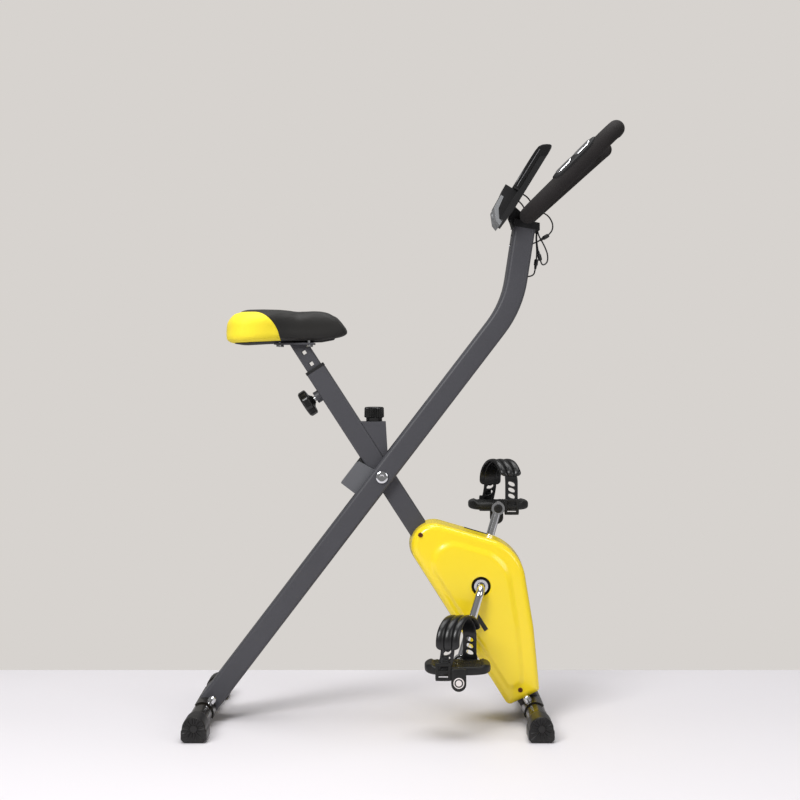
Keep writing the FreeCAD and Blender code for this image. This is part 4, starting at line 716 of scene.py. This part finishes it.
def slab(name, middle, half):
    """A block with rounded edges: a ball squared up to the half sizes as a superellipse.

    The sines and cosines of its latitudes and longitudes are raised to a power below one.
    """
    ease = 0.4
    rise = np.linspace(-np.pi / 2, np.pi / 2, 13)
    turn = np.linspace(0, 2 * np.pi, 48, endpoint=False)
    up = np.sign(np.sin(rise)) * np.abs(np.sin(rise)) ** ease
    out = np.abs(np.cos(rise)) ** ease
    x = out[:, None] * np.sign(np.cos(turn)) * np.abs(np.cos(turn)) ** ease
    y = out[:, None] * np.sign(np.sin(turn)) * np.abs(np.sin(turn)) ** ease
    z = np.broadcast_to(up[:, None], x.shape)
    grid = np.array(middle) + np.stack([x * half[0], y * half[1], z * half[2]], axis=-1) * MM
    return skin(name, grid, sharp=50)


def ladder(name, middle, half, bars):
    """A ladder buckle in one mesh: two upright slabs, and cross slabs evenly spaced between its ends."""
    joined = bmesh.new()
    for number in range(-2, bars):
        shift = np.array([(number * 2 + 3) * (half[0] - 3.0), 0, 0] if number < 0 else
                         [0, 0, (number / (bars - 1) * 2 - 1) * (half[2] - 3.0)]) * MM
        size = (3.0, half[1], half[2]) if number < 0 else (half[0] - 1, half[1] * 0.85, 3.0)
        part = slab(name + "_bar", np.array(middle) + shift, size)
        joined.from_mesh(part)
        bpy.data.meshes.remove(part)
    mesh = bpy.data.meshes.new(name)
    joined.to_mesh(mesh)
    joined.free()
    mesh.shade_smooth()
    mesh.set_sharp_from_angle(angle=math.radians(50))
    return mesh


# Moulded polypropylene, black and finely grained.
pedal_plastic = finish("moulded_pedal_plastic", "#131313", "#1a1a19", 16, 0.7, 0.04, 0.44,
                       **{"Specular IOR Level": 0.35})
# Soft PVC strap: black with a wet-looking gloss.
strap_pvc = finish("glossy_black_pvc_strap", "#101011", "#161617", 20, 2.5, 0.02, 0.3, 0.05)
white_disc = finish("white_nylon_plug", "#e9e4e2", "#dcd5d3", 6, 0.5, 0.01, 0.4)
for side, label in ((RIGHT, "right"), (LEFT, "left")):
    middle = joint_at(f"{label}_pedal_turn")
    body = f"{label}_pedal_set"
    plate_at = middle + np.array([-7.5 if side == RIGHT else 4.0, 0, 2.2]) * MM
    name = f"{label}_platform"
    shown(name, pedal_platform(name, plate_at), pedal_plastic, "black_plastic", body, f"{label}_pedal")
    name = f"{label}_strap_band"
    band = shown(name, strap_band(name, middle, side), strap_pvc, "black_plastic", body, f"{label}_strap")
    thickened(band, "thickness", 2.6, 0)
    smooth = band.modifiers.new("rounding", "SUBSURF")
    smooth.levels = smooth.render_levels = 3
    name = f"{label}_strap_pad"
    shown(name, strap_pad(name, middle, side), strap_pvc, "black_plastic", body)
    stud = middle + np.array([SITS[side][0] - SITS[side][1] * HALF, side * 40.2, 42.0]) * MM
    shown(f"{label}_strap_stud", turned(f"{label}_strap_stud", rounded(
        [(0, 0), (0, 5.6), (2.6, 5.2), (2.6, 3.2), (1.2, 2.8), (1.2, 1.6), (3.0, 1.2), (3.0, 0)], 0.5) * MM,
        stud, (0, side, 0), 40), strap_pvc, "black_plastic", body)
    ahead, slant, _ = SITS[side]
    for out, back, tag in ((1, 8, "outer"), (-1, 0, "inner")):
        hold = middle + np.array([ahead - out * slant * HALF - back, out * side * 42.0, 1.0]) * MM
        name = f"{label}_{tag}_buckle"
        shown(name, ladder(name, hold, (14.5, 3.4, 16.0), 3), pedal_plastic, "black_plastic", body)
    teeth_up = np.linspace(4, 30, 79)
    teeth_out = 41.0 + 1.3 * np.abs(np.sin(np.pi * teeth_up / 3.2))
    over = np.linspace(-7, 7, 9)
    up, x = np.meshgrid(teeth_up, over, indexing="ij")
    out = np.broadcast_to(teeth_out[:, None], x.shape)
    teeth = np.stack([x + ahead - slant * HALF - 5, side * out, up], axis=-1) * MM + middle
    mesh = skin(f"{label}_ratchet", teeth, wrap=False, ends=False, flip=side == LEFT)
    thickened(shown(f"{label}_ratchet", mesh, strap_pvc, "black_plastic", body), "backing", 1.6, -1)
    angle = np.linspace(0, 2 * np.pi, 80, endpoint=False)
    tab_x = 13.5 * np.cos(angle)
    tab_z = np.where(np.sin(angle) < 0, -20 + 13.5 * np.sin(angle), 5 + 3 * np.sin(angle))
    edges = [(0.02, -4.5), (0.9, -4.5), (0.97, -4.1), (1.0, -3.2), (1.0, 3.2), (0.97, 4.1), (0.9, 4.5),
             (0.02, 4.5)]
    hang = np.array([-7.0, 0, 0] if side == RIGHT else [4.0, 0, -8.0])
    grid = np.stack([np.stack([tab_x * share, np.full(80, side * (44.5 + depth)), (tab_z + 8) * share - 8],
                              axis=-1) + hang for share, depth in edges]) * MM + middle
    name = f"{label}_weight_tab"
    shown(name, skin(name, grid, sharp=45), pedal_plastic, "black_plastic", body, f"{label}_pedal_weight")
    disc = middle + (hang + np.array([0, side * 48.4, -18.0])) * MM
    shown(f"{label}_weight_plug", turned(f"{label}_weight_plug", rounded(
        [(0, 0), (0, 9.8), (1.3, 9.6), (1.6, 8.4), (1.2, 7.6), (1.2, 5.6), (1.7, 5.0), (1.7, 0)], 0.4) * MM,
        disc, (0, side, 0), 56), white_disc, "black_plastic", body)
    shown(f"{label}_weight_ring", turned(f"{label}_weight_ring", np.array(
        [(0.9, 5.5), (1.45, 5.6), (1.45, 7.7), (0.9, 7.8)]) * MM, disc, (0, side, 0), 56), pedal_plastic,
        "black_plastic", body)

# Seat ---------------------------------------------------------------------------------------------
# A saddle-shaped foam pad in a stretched two-tone cover, glued to a moulded pan. The rear and its sides are
# lemon yellow and the top and the nose are black, joined by a seam sewn into a shallow groove.
PLAN = np.array([(-342, 0), (-341, 40), (-335, 68), (-320, 90), (-297, 98), (-274, 93), (-252, 78),
                 (-232, 61), (-208, 46), (-180, 37), (-150, 32.5), (-128, 28), (-113, 19), (-107, 0)], float)


def seat_outline(count, inset):
    """The seat's plan, both sides, evenly spaced by the distance round it and smoothed by a running mean."""
    half = PLAN[::-1]
    around = np.concatenate([half, half[::-1][1:-1] * (1, -1)])
    closed = np.concatenate([around, around[:1]])
    length = np.concatenate([[0], np.cumsum(np.linalg.norm(np.diff(closed, axis=0), axis=1))])
    spot = np.linspace(0, length[-1], count, endpoint=False)
    even = np.stack([np.interp(spot, length, closed[:, axis]) for axis in (0, 1)], axis=1)
    window = count // 24
    kernel = np.ones(window) / window
    wrapped = np.concatenate([even[-window:], even, even[:window]])
    soft = np.stack([np.convolve(wrapped[:, axis], kernel, "same") for axis in (0, 1)], axis=1)
    soft = soft[window:-window]
    spine = np.stack([np.clip(soft[:, 0], -300, -138), np.zeros(count)], axis=1)
    arm = soft - spine
    reach = np.linalg.norm(arm, axis=1)[:, None]
    return soft - arm / reach * inset, spine


def seat_edge(x):
    """The height of the pad's lower edge at a place along the bike, in mm."""
    return np.interp(x, [-340, -300, -260, -235, -200, -160, -112],
                     [718.0, 718.5, 721, 723.5, 723, 724, 733])


def seat_grid(inset, above, below):
    """The pad as rings from its top's spine out to its plan and back underneath.

    Above its middle the section is a superellipse of power 2.7, and below it one of power 8, so that the
    sides drop straight to a tight lower edge. The top dips behind the nose and falls away in front, and
    the underside sags by 5 mm from the edge to the middle.
    """
    outline, spine = seat_outline(240, inset)
    rise = np.concatenate([np.linspace(np.pi / 2 - 0.05, 0, 30), -np.linspace(0, np.pi / 2 - 0.05, 26)[1:]])
    power = np.where(rise > 0, 2.7, 8.0)
    share = np.cos(rise) ** (2 / power)
    height = np.sign(rise) * np.abs(np.sin(rise)) ** (2 / power)
    plan = spine[None] + (outline - spine)[None] * share[:, None, None]
    x = plan[:, :, 0]
    top = np.interp(x, [-341, -325, -299, -270, -240, -218, -203, -190, -176, -160, -145, -129, -118, -110],
                    [769, 776.5, 780, 780.5, 780, 778, 775, 776.5, 777.8, 777, 774.5, 768, 758, 747]) - above
    base = seat_edge(x) - 5 * (1 - share[:, None] ** 2) * (rise < 0)[:, None] + below
    middle = (top + base) / 2
    z = middle + (top - base) / 2 * height[:, None]
    return np.stack([x, plan[:, :, 1], z], axis=-1) * MM


def points_of(mesh):
    """A mesh's points, one to a row."""
    spots = np.zeros(len(mesh.vertices) * 3)
    mesh.vertices.foreach_get("co", spots)
    return spots.reshape(-1, 3)


def solved(piece):
    """A new mesh of a piece as its modifiers leave it."""
    return bpy.data.meshes.new_from_object(piece.evaluated_get(bpy.context.evaluated_depsgraph_get()))


def inflated(mesh, voxel, pressure, most):
    """The mesh in even cells, blown up as cloth under a pressure, with no point moving more than most.

    Down the last 20 mm to the pad's lower edge, where the cover is stapled, the movement fades to nothing.
    """
    piece = placed("inflating", mesh)
    remesh = piece.modifiers.new("cells", "REMESH")
    remesh.mode = "VOXEL"
    remesh.voxel_size = voxel
    even = solved(piece)
    bpy.data.objects.remove(piece)
    before = points_of(even)
    piece = placed("inflating", even)
    cloth = piece.modifiers.new("cover", "CLOTH")
    cloth.settings.use_pressure = True
    cloth.settings.uniform_pressure_force = pressure
    cloth.settings.effector_weights.gravity = 0
    cloth.settings.quality = 6
    cloth.point_cache.frame_start, cloth.point_cache.frame_end = 1, 20
    for number in range(1, 21):
        bpy.context.scene.frame_set(number)
    moved = points_of(solved(piece)) - before
    length = np.linalg.norm(moved, axis=1)[:, None]
    moved = moved * np.minimum(1, most / np.maximum(length, 1e-9))
    place = before / MM
    moved = moved * np.clip((place[:, 2] - seat_edge(place[:, 0])) / 20, 0, 1)[:, None]
    even.vertices.foreach_set("co", (before + moved).ravel())
    bpy.data.objects.remove(piece)
    bpy.context.scene.frame_set(1)
    return even


# The quarter ellipse that the seam follows: its middle's place along the bike and up, then its half length
# and its half height, in mm.
SEAM_X, SEAM_Z, SEAM_LONG, SEAM_TALL = -284, 712, 49, 63


def seam_field(points):
    """How far outside the yellow panel a point is: a quarter ellipse from the side, 1 on the seam."""
    ahead = np.maximum(points[:, 0] / MM - SEAM_X, 0) / SEAM_LONG
    up = (points[:, 2] / MM - SEAM_Z) / SEAM_TALL
    return np.sqrt(ahead ** 2 + up ** 2)


pad = inflated(skin("seat_pad", seat_grid(inset=1.0, above=2.2, below=0.6)), voxel=4.4 * MM, pressure=4.0,
               most=2.5 * MM)
pad.name = "seat_pad"
pad_piece = placed("seat_pad_raw", pad)
halves = pad_piece.modifiers.new("rounding", "SUBSURF")
halves.levels = halves.render_levels = 2
pad = solved(pad_piece)
bpy.data.objects.remove(pad_piece)
spots = points_of(pad)
facing = np.zeros(len(pad.vertices) * 3)
pad.vertex_normals.foreach_get("vector", facing)
facing = facing.reshape(-1, 3)
away = (seam_field(spots) - 1) * 50
groove = 1.5 * np.exp(-(away / 1.7) ** 2) * (spots[:, 2] > 0.722)
pad.vertices.foreach_set("co", (spots - facing * groove[:, None] * MM).ravel())
pad.shade_smooth()


def seat_cover():
    """The cover's material: lemon yellow inside the seam's curve and black outside it, with a fine knit.

    The same quarter ellipse as the groove picks the colour, and black starts just inside the seam.
    """
    made, tree = blank("two_tone_stretch_cover")
    where = add(tree, "ShaderNodeTexCoord").outputs["Object"]
    place = add(tree, "ShaderNodeSeparateXYZ", {"Vector": where})
    ahead = add(tree, "ShaderNodeMapRange", {"Value": place.outputs["X"], "From Min": SEAM_X * MM,
                                             "From Max": (SEAM_X + SEAM_LONG) * MM})
    ahead.clamp = False
    ahead = add(tree, "ShaderNodeMath", {0: ahead.outputs["Result"], 1: 0.0}, operation="MAXIMUM")
    up = add(tree, "ShaderNodeMapRange", {"Value": place.outputs["Z"], "From Min": SEAM_Z * MM,
                                          "From Max": (SEAM_Z + SEAM_TALL) * MM})
    up.clamp = False
    both = add(tree, "ShaderNodeCombineXYZ", {"X": ahead.outputs["Value"], "Y": up.outputs["Result"]})
    field = add(tree, "ShaderNodeVectorMath", {0: both.outputs["Vector"]}, operation="LENGTH")
    black = add(tree, "ShaderNodeMapRange", {"Value": field.outputs["Value"], "From Min": 0.985,
                                             "From Max": 1.0})
    drift = add(tree, "ShaderNodeTexNoise", {"Vector": where, "Scale": 25.0, "Detail": 3.0})
    lemon = blend(tree, drift.outputs["Fac"], linear("#f9e12c"), linear("#fbe638"))
    dark = blend(tree, drift.outputs["Fac"], linear("#1e1d1c"), linear("#252422"))
    cover = blend(tree, black.outputs["Result"], lemon, dark)
    knit = add(tree, "ShaderNodeTexNoise", {"Vector": where, "Scale": 1100.0, "Detail": 2.0})
    bump = add(tree, "ShaderNodeBump", {"Height": knit.outputs["Fac"], "Strength": 1.0, "Distance": 0.00006})
    shader = add(tree, "ShaderNodeBsdfPrincipled",
                 {"Base Color": cover, "Roughness": 0.55, "Normal": bump.outputs["Normal"],
                  "Specular IOR Level": 0.25, "Sheen Weight": 0.06})
    add(tree, "ShaderNodeOutputMaterial", {"Surface": shader.outputs["BSDF"]})
    return made


cushion = shown("seat_pad", pad, seat_cover(), "seat_cover", "seat", "seat_cushion")

# The pan is let into the pad's underside, well in from its edge, and stands a little proud of it.
outline, spine = seat_outline(200, 26.0)
pan_rings = []
for share, drop in ((0.02, -6.0), (0.5, -5.4), (0.94, -3.6), (1.0, -2.6), (1.0, 6.0), (0.95, 8.0),
                    (0.02, 8.0)):
    ring = spine + (outline - spine) * share
    pan_rings.append(np.concatenate([ring, (seat_edge(ring[:, 0]) + drop)[:, None]], axis=1))
shown("seat_pan", skin("seat_pan", np.stack(pan_rings) * MM), nylon, "black_plastic", "seat", "seat_base")

# Height knob and tension knob ---------------------------------------------------------------------
# The height knob is moulded nylon on a steel pin that is drawn out of the tube's ferrule. The tension
# knob is ribbed all round and turns on a collar over its folded bracket.
tube_up = np.array([-math.cos(math.radians(57.1)), 0, math.sin(math.radians(57.1))])
tube_out = np.array([-tube_up[2], 0, tube_up[0]])
tube_at = np.array([242.0, 0, 25.5]) + 521.8 * tube_up
knob_at = (tube_at + tube_up * 195 + tube_out * 33) * MM
glossy_nylon = finish("glossy_black_nylon", "#0d0d0d", "#131313", 14, 0.9, 0.02, 0.28, 0.06)
knob = turned("height_knob", rounded([(-0.4, 0.1), (-0.4, 7.6), (1.5, 8.6), (5.2, 13.5), (6.2, 23.5),
                                      (8, 26), (20, 26), (22.4, 23), (23, 17), (21.6, 11),
                                      (21.4, 0.1)], 2.2) * MM,
              knob_at, tube_out, 180, 9, 1.1 * MM, (7.0 * MM, 22.0 * MM))
shown("height_knob", knob, glossy_nylon, "black_plastic", "pull_pin", "height_pull_pin")
pin = turned("height_pin", rounded([(-17.7, 0.1), (-17.7, 4.4), (-17.0, 5.0), (8, 5.0), (8, 0.1)], 0.5) * MM,
             knob_at, tube_out, 40)
shown("height_pin", pin, steel, "steel", "pull_pin")
sleeve = turned("ferrule_sleeve", rounded([(-13.8, 0.1), (-13.8, 10.9), (-5.2, 10.9), (-5.2, 0.1)],
                                          0.8) * MM, knob_at, tube_out, 64)
shown("ferrule_sleeve", sleeve, nylon, "black_plastic", "main_frame")

dial_at = np.array([-60, 0, 567]) * MM
dial = turned("tension_dial", rounded([(-6, 0.1), (-6, 4), (0.3, 4), (0.3, 15.4), (6.6, 15.4), (7.4, 17.2),
                                       (8.4, 19), (25.5, 18.6), (27.4, 17), (27.8, 13), (27.0, 11),
                                       (27.0, 0.1)], 0.7) * MM,
              dial_at, (0, 0, 1), 240, 30, 1.5 * MM, (7.6 * MM, 26.4 * MM))
shown("tension_dial", dial, glossy_nylon, "gloss_black_plastic", "tension_dial", "tension_knob")

# Handlebar and grips ------------------------------------------------------------------------------
# One bent steel tube in dark grey powder coat, its left arm set a few millimetres low. Closed-cell foam
# sleeves cover both arms and round their curled tips, and on each is a moulded carrier with two chromed
# pulse plates.
BAR_CENTRE = np.array([228.88, 0, 954.99])
ARM = np.array([[158, -100, 153.5], [156, -165, 153.5], [0, -125, 0], [0, 125, 0], [163, 165, 146.5],
                [165, 100, 146.5]])


def bent(points, radii, spacing=2.0):
    """A bent tube's centreline: straight runs joined by tangent arcs, resampled evenly along its length."""
    line = [points[:1]]
    for before, corner, after, radius in zip(points, points[1:], points[2:], radii):
        back = (before - corner) / np.linalg.norm(before - corner)
        on = (after - corner) / np.linalg.norm(after - corner)
        half = math.acos(np.clip(back @ on, -1, 1)) / 2
        bisector = (back + on) / np.linalg.norm(back + on)
        centre = corner + bisector * radius / math.sin(half)
        first = corner + back * radius / math.tan(half) - centre
        last = corner + on * radius / math.tan(half) - centre
        sweep = math.pi - 2 * half
        share = np.linspace(0, 1, 24)[:, None]
        arc = first * np.sin(sweep * (1 - share)) + last * np.sin(sweep * share)
        line.append(centre + arc / math.sin(sweep))
    line.append(points[-1:])
    line = np.concatenate(line)
    travelled = np.concatenate([[0], np.cumsum(np.linalg.norm(np.diff(line, axis=0), axis=1))])
    even = np.linspace(0, travelled[-1], int(travelled[-1] / spacing) + 1)
    return np.stack([np.interp(even, travelled, line[:, axis]) for axis in range(3)], axis=1), even


def hose(name, line, radius):
    """Rings of a radius carried along a centreline, each square to it and turned from one fixed guide."""
    along = np.gradient(line, axis=0)
    along = along / np.linalg.norm(along, axis=1)[:, None]
    guide = np.array([-1.0, 0.0, 1.0]) / math.sqrt(2)
    first = guide - along * (along @ guide)[:, None]
    first = first / np.linalg.norm(first, axis=1)[:, None]
    second = np.cross(along, first)
    angle = np.linspace(0, 2 * np.pi, 56, endpoint=False)
    ring = first[:, None] * np.cos(angle)[None, :, None] + second[:, None] * np.sin(angle)[None, :, None]
    return skin(name, (line[:, None] + ring * np.reshape(radius, (-1, 1, 1))) * MM)


line = bent(ARM + BAR_CENTRE, (35, 50, 50, 35))[0]
shown("handlebar_tube", hose("handlebar_tube", line, 11.1), powder, "powder_coat", "handlebar_post",
      "handlebar")
# EVA foam: black, matt, with open pores about a millimetre across.
foam = finish("black_eva_foam", "#1f1d1d", "#282525", 25, 1.1, 0.12, 0.8, **{"Specular IOR Level": 0.25})
for side, label in ((RIGHT, "right"), (LEFT, "left")):
    order = ARM[:3][::-1] if side == RIGHT else ARM[3:]
    tip = order[2] + np.array([0, -side * 8.0, 0])
    route = np.array([[0, side * 62.0, 0], order[0], order[1], tip]) + BAR_CENTRE
    line, travelled = bent(route, (50, 35), 1.5)
    left_over = travelled[-1] - travelled
    radius = 15.5 * np.sqrt(np.clip(1 - (1 - np.clip(left_over / 11, 0, 1)) ** 2, 0.0004, 1))
    radius = radius * np.where(travelled < 2.5, 0.93 + 0.07 * np.sqrt(np.clip(travelled / 2.5, 0, 1)), 1)
    name = f"{label}_foam"
    shown(name, hose(name, line, radius), foam, "foam", "handlebar_post", f"{label}_grip")


def arm_patch(name, side, start, stop, half_angle, low, high, ends):
    """A shell on an arm's upper rear, between two distances along it: rings of an outer and an inner arc.

    Towards both ends its angle and its height close as a superellipse, of the power ends.
    """
    corner = BAR_CENTRE + np.array([0, side * 125.0, 0])
    way = (ARM[1] - ARM[2]) if side == RIGHT else (ARM[4] - ARM[3])
    way = way / np.linalg.norm(way)
    rear = np.array([-way[2], 0, way[0]]) / math.hypot(way[0], way[2])
    aside = np.cross(way, rear)
    share = np.linspace(-1, 1, 61)
    taper = np.clip(1 - np.abs(share) ** ends, 0.0016, 1) ** 0.5
    over = np.linspace(-1, 1, 33)
    crown = np.clip(1 - np.abs(over) ** 6, 0, 1) ** 0.5
    angle = np.concatenate([over, over[::-1][1:-1]])
    height = np.concatenate([crown, np.zeros(31)])
    turn = np.radians(half_angle) * taper[:, None] * angle[None, :]
    reach = low + (high - low) * height[None, :] * (0.25 + 0.75 * taper[:, None])
    along = (start + stop) / 2 + share * (stop - start) / 2
    grid = (corner + way * along[:, None, None] + rear * (reach * np.cos(turn))[:, :, None]
            + aside * (reach * np.sin(turn))[:, :, None])
    return skin(name, grid * MM, sharp=45)


for side, label in ((RIGHT, "right"), (LEFT, "left")):
    name = f"{label}_sensor_carrier"
    carrier = arm_patch(name, side, 72, 178, 62, 14.6, 20.0, 6)
    shown(name, carrier, nylon, "black_plastic", "handlebar_post", "pulse_carriers")
    for start, tag in ((83, "lower"), (129, "upper")):
        name = f"{label}_{tag}_pulse_plate"
        plate = arm_patch(name, side, start, start + 38, 42, 18.6, 20.9, 8)
        shown(name, plate, chrome, "chrome", "handlebar_post", "pulse_plates")

# Console ------------------------------------------------------------------------------------------
# A small display in a curved silver bezel, on a black moulded housing behind which stands a tablet rest.
# A moulded cap on the post's end cradles the bar and carries it, held by two screws from behind.
gloss_black = finish("gloss_black_abs", "#101011", "#151516", 30, 3.0, 0.01, 0.24, 0.05)
silver = finish("silver_painted_abs", "#8c8e90", "#96989a", 20, 0.5, 0.01, 0.5, 0.06, Metallic=0.45)
glass = finish("grey_display_window", "#3c403d", "#444945", 20, 0.6, 0.004, 0.3, 0.03,
               **{"Specular IOR Level": 0.3})
CONSOLE_AT = np.array([195.0, 0, 965.0])
LEAN = math.radians(58.5)
ALONG = np.array([math.cos(LEAN), 0, math.sin(LEAN)])
BEHIND = np.array([math.sin(LEAN), 0, -math.cos(LEAN)])


def flattened(piece):
    """Draws a piece towards the housing by 0.19 of its height up the face, from 16 mm under CONSOLE_AT."""
    spots = points_of(piece.data)
    up = (spots - CONSOLE_AT * MM) @ ALONG
    moved = spots + np.maximum(up + 0.016, 0)[:, None] * 0.19 * BEHIND
    piece.data.vertices.foreach_set("co", moved.ravel())


def side_bar(name, profile, middle, half):
    """A bar across the console with a side-view profile: rings drawn in about a middle at its ends.

    The profile's points are distances behind the console's face and along it, in mm, and its corners are
    eased. The ends round off over the edge's width.
    """
    edge = 1.2
    closed = np.array(profile + profile[:1] + profile[1:2], float)
    around = rounded(closed, 2.2)[1:-1]
    rows = []
    for share, inward in ((0.02, 0.0), (0.6, 0.0), (0.93, 0.0), (0.975, edge * 0.3), (1.0, edge)):
        rows.append((share, inward - half))
    rows += [(share, -across) for share, across in rows[::-1]]
    ring = [np.array(middle) + (around - middle) * share for share, _ in rows]
    grid = np.stack([CONSOLE_AT + flat[:, :1] * BEHIND + flat[:, 1:] * ALONG + np.array([0, across, 0])
                     for flat, (_, across) in zip(ring, rows)])
    return skin(name, grid * MM, sharp=35)


refined("console_shell", nylon, "black_plastic", 1.5)
low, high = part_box("tablet_rest")
tray = side_bar("tablet_tray", [(-18, 38), (-18, 116), (-16.6, 127), (-12.5, 133.5), (-6, 138.5), (0, 141.6),
                                (3.4, 141.6), (5.6, 137), (6.4, 122), (-5.8, 114), (-5.8, 38)],
                (-11.5, 118), high.y / MM)
shown("tablet_tray", tray, gloss_black, "gloss_black_plastic", "handlebar_post", "tablet_rest")
# Fine light grey strips along the ends of the tray and the shell are painted highlights: the light their
# edges catch is painted on as colour.
painted_highlight = finish("painted_edge_highlight", "#77777a", "#5c5c5f", 8, 0.6, 0.01, 0.4)
for side, label in ((RIGHT, "right"), (LEFT, "left")):
    for number, (behind, start, stop, out) in enumerate(((-12.0, 42, 124, 0.0), (-4.0, -18, 128, -3.0))):
        along = np.linspace(start, stop, 60)
        over = np.linspace(-0.45, 0.45, 3)
        row, column = np.meshgrid(along, over, indexing="ij")
        place = CONSOLE_AT + (behind + column)[..., None] * BEHIND + row[..., None] * ALONG
        place[..., 1] = side * (high.y / MM + out + 0.03)
        # Each strip is a painted highlight along an edge of the tray or the shell, not a colour of the
        # plastic.
        name = f"{label}_parting_{number + 1}"
        mesh = skin(name, place * MM, wrap=False, ends=False, flip=side == LEFT)
        thickened(shown(name, mesh, painted_highlight, "gloss_black_plastic", "handlebar_post"), "ridge", 0.3, 0)
flattened(refined("console_bezel", silver, "silver_plastic", 1.0))
flattened(refined("console_screen", glass, "display_glass", 0.4))
flattened(refined("mode_button", silver, "silver_plastic", 0.6))
mount = refined("console_mount", nylon, "black_plastic", 1.2)
spots = points_of(mount.data)
spots[:, 0] = np.minimum(spots[:, 0], 0.2535)
mount.data.vertices.foreach_set("co", spots.ravel())

# The size of the visual model, without the table top ----------------------------------------------
low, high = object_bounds()
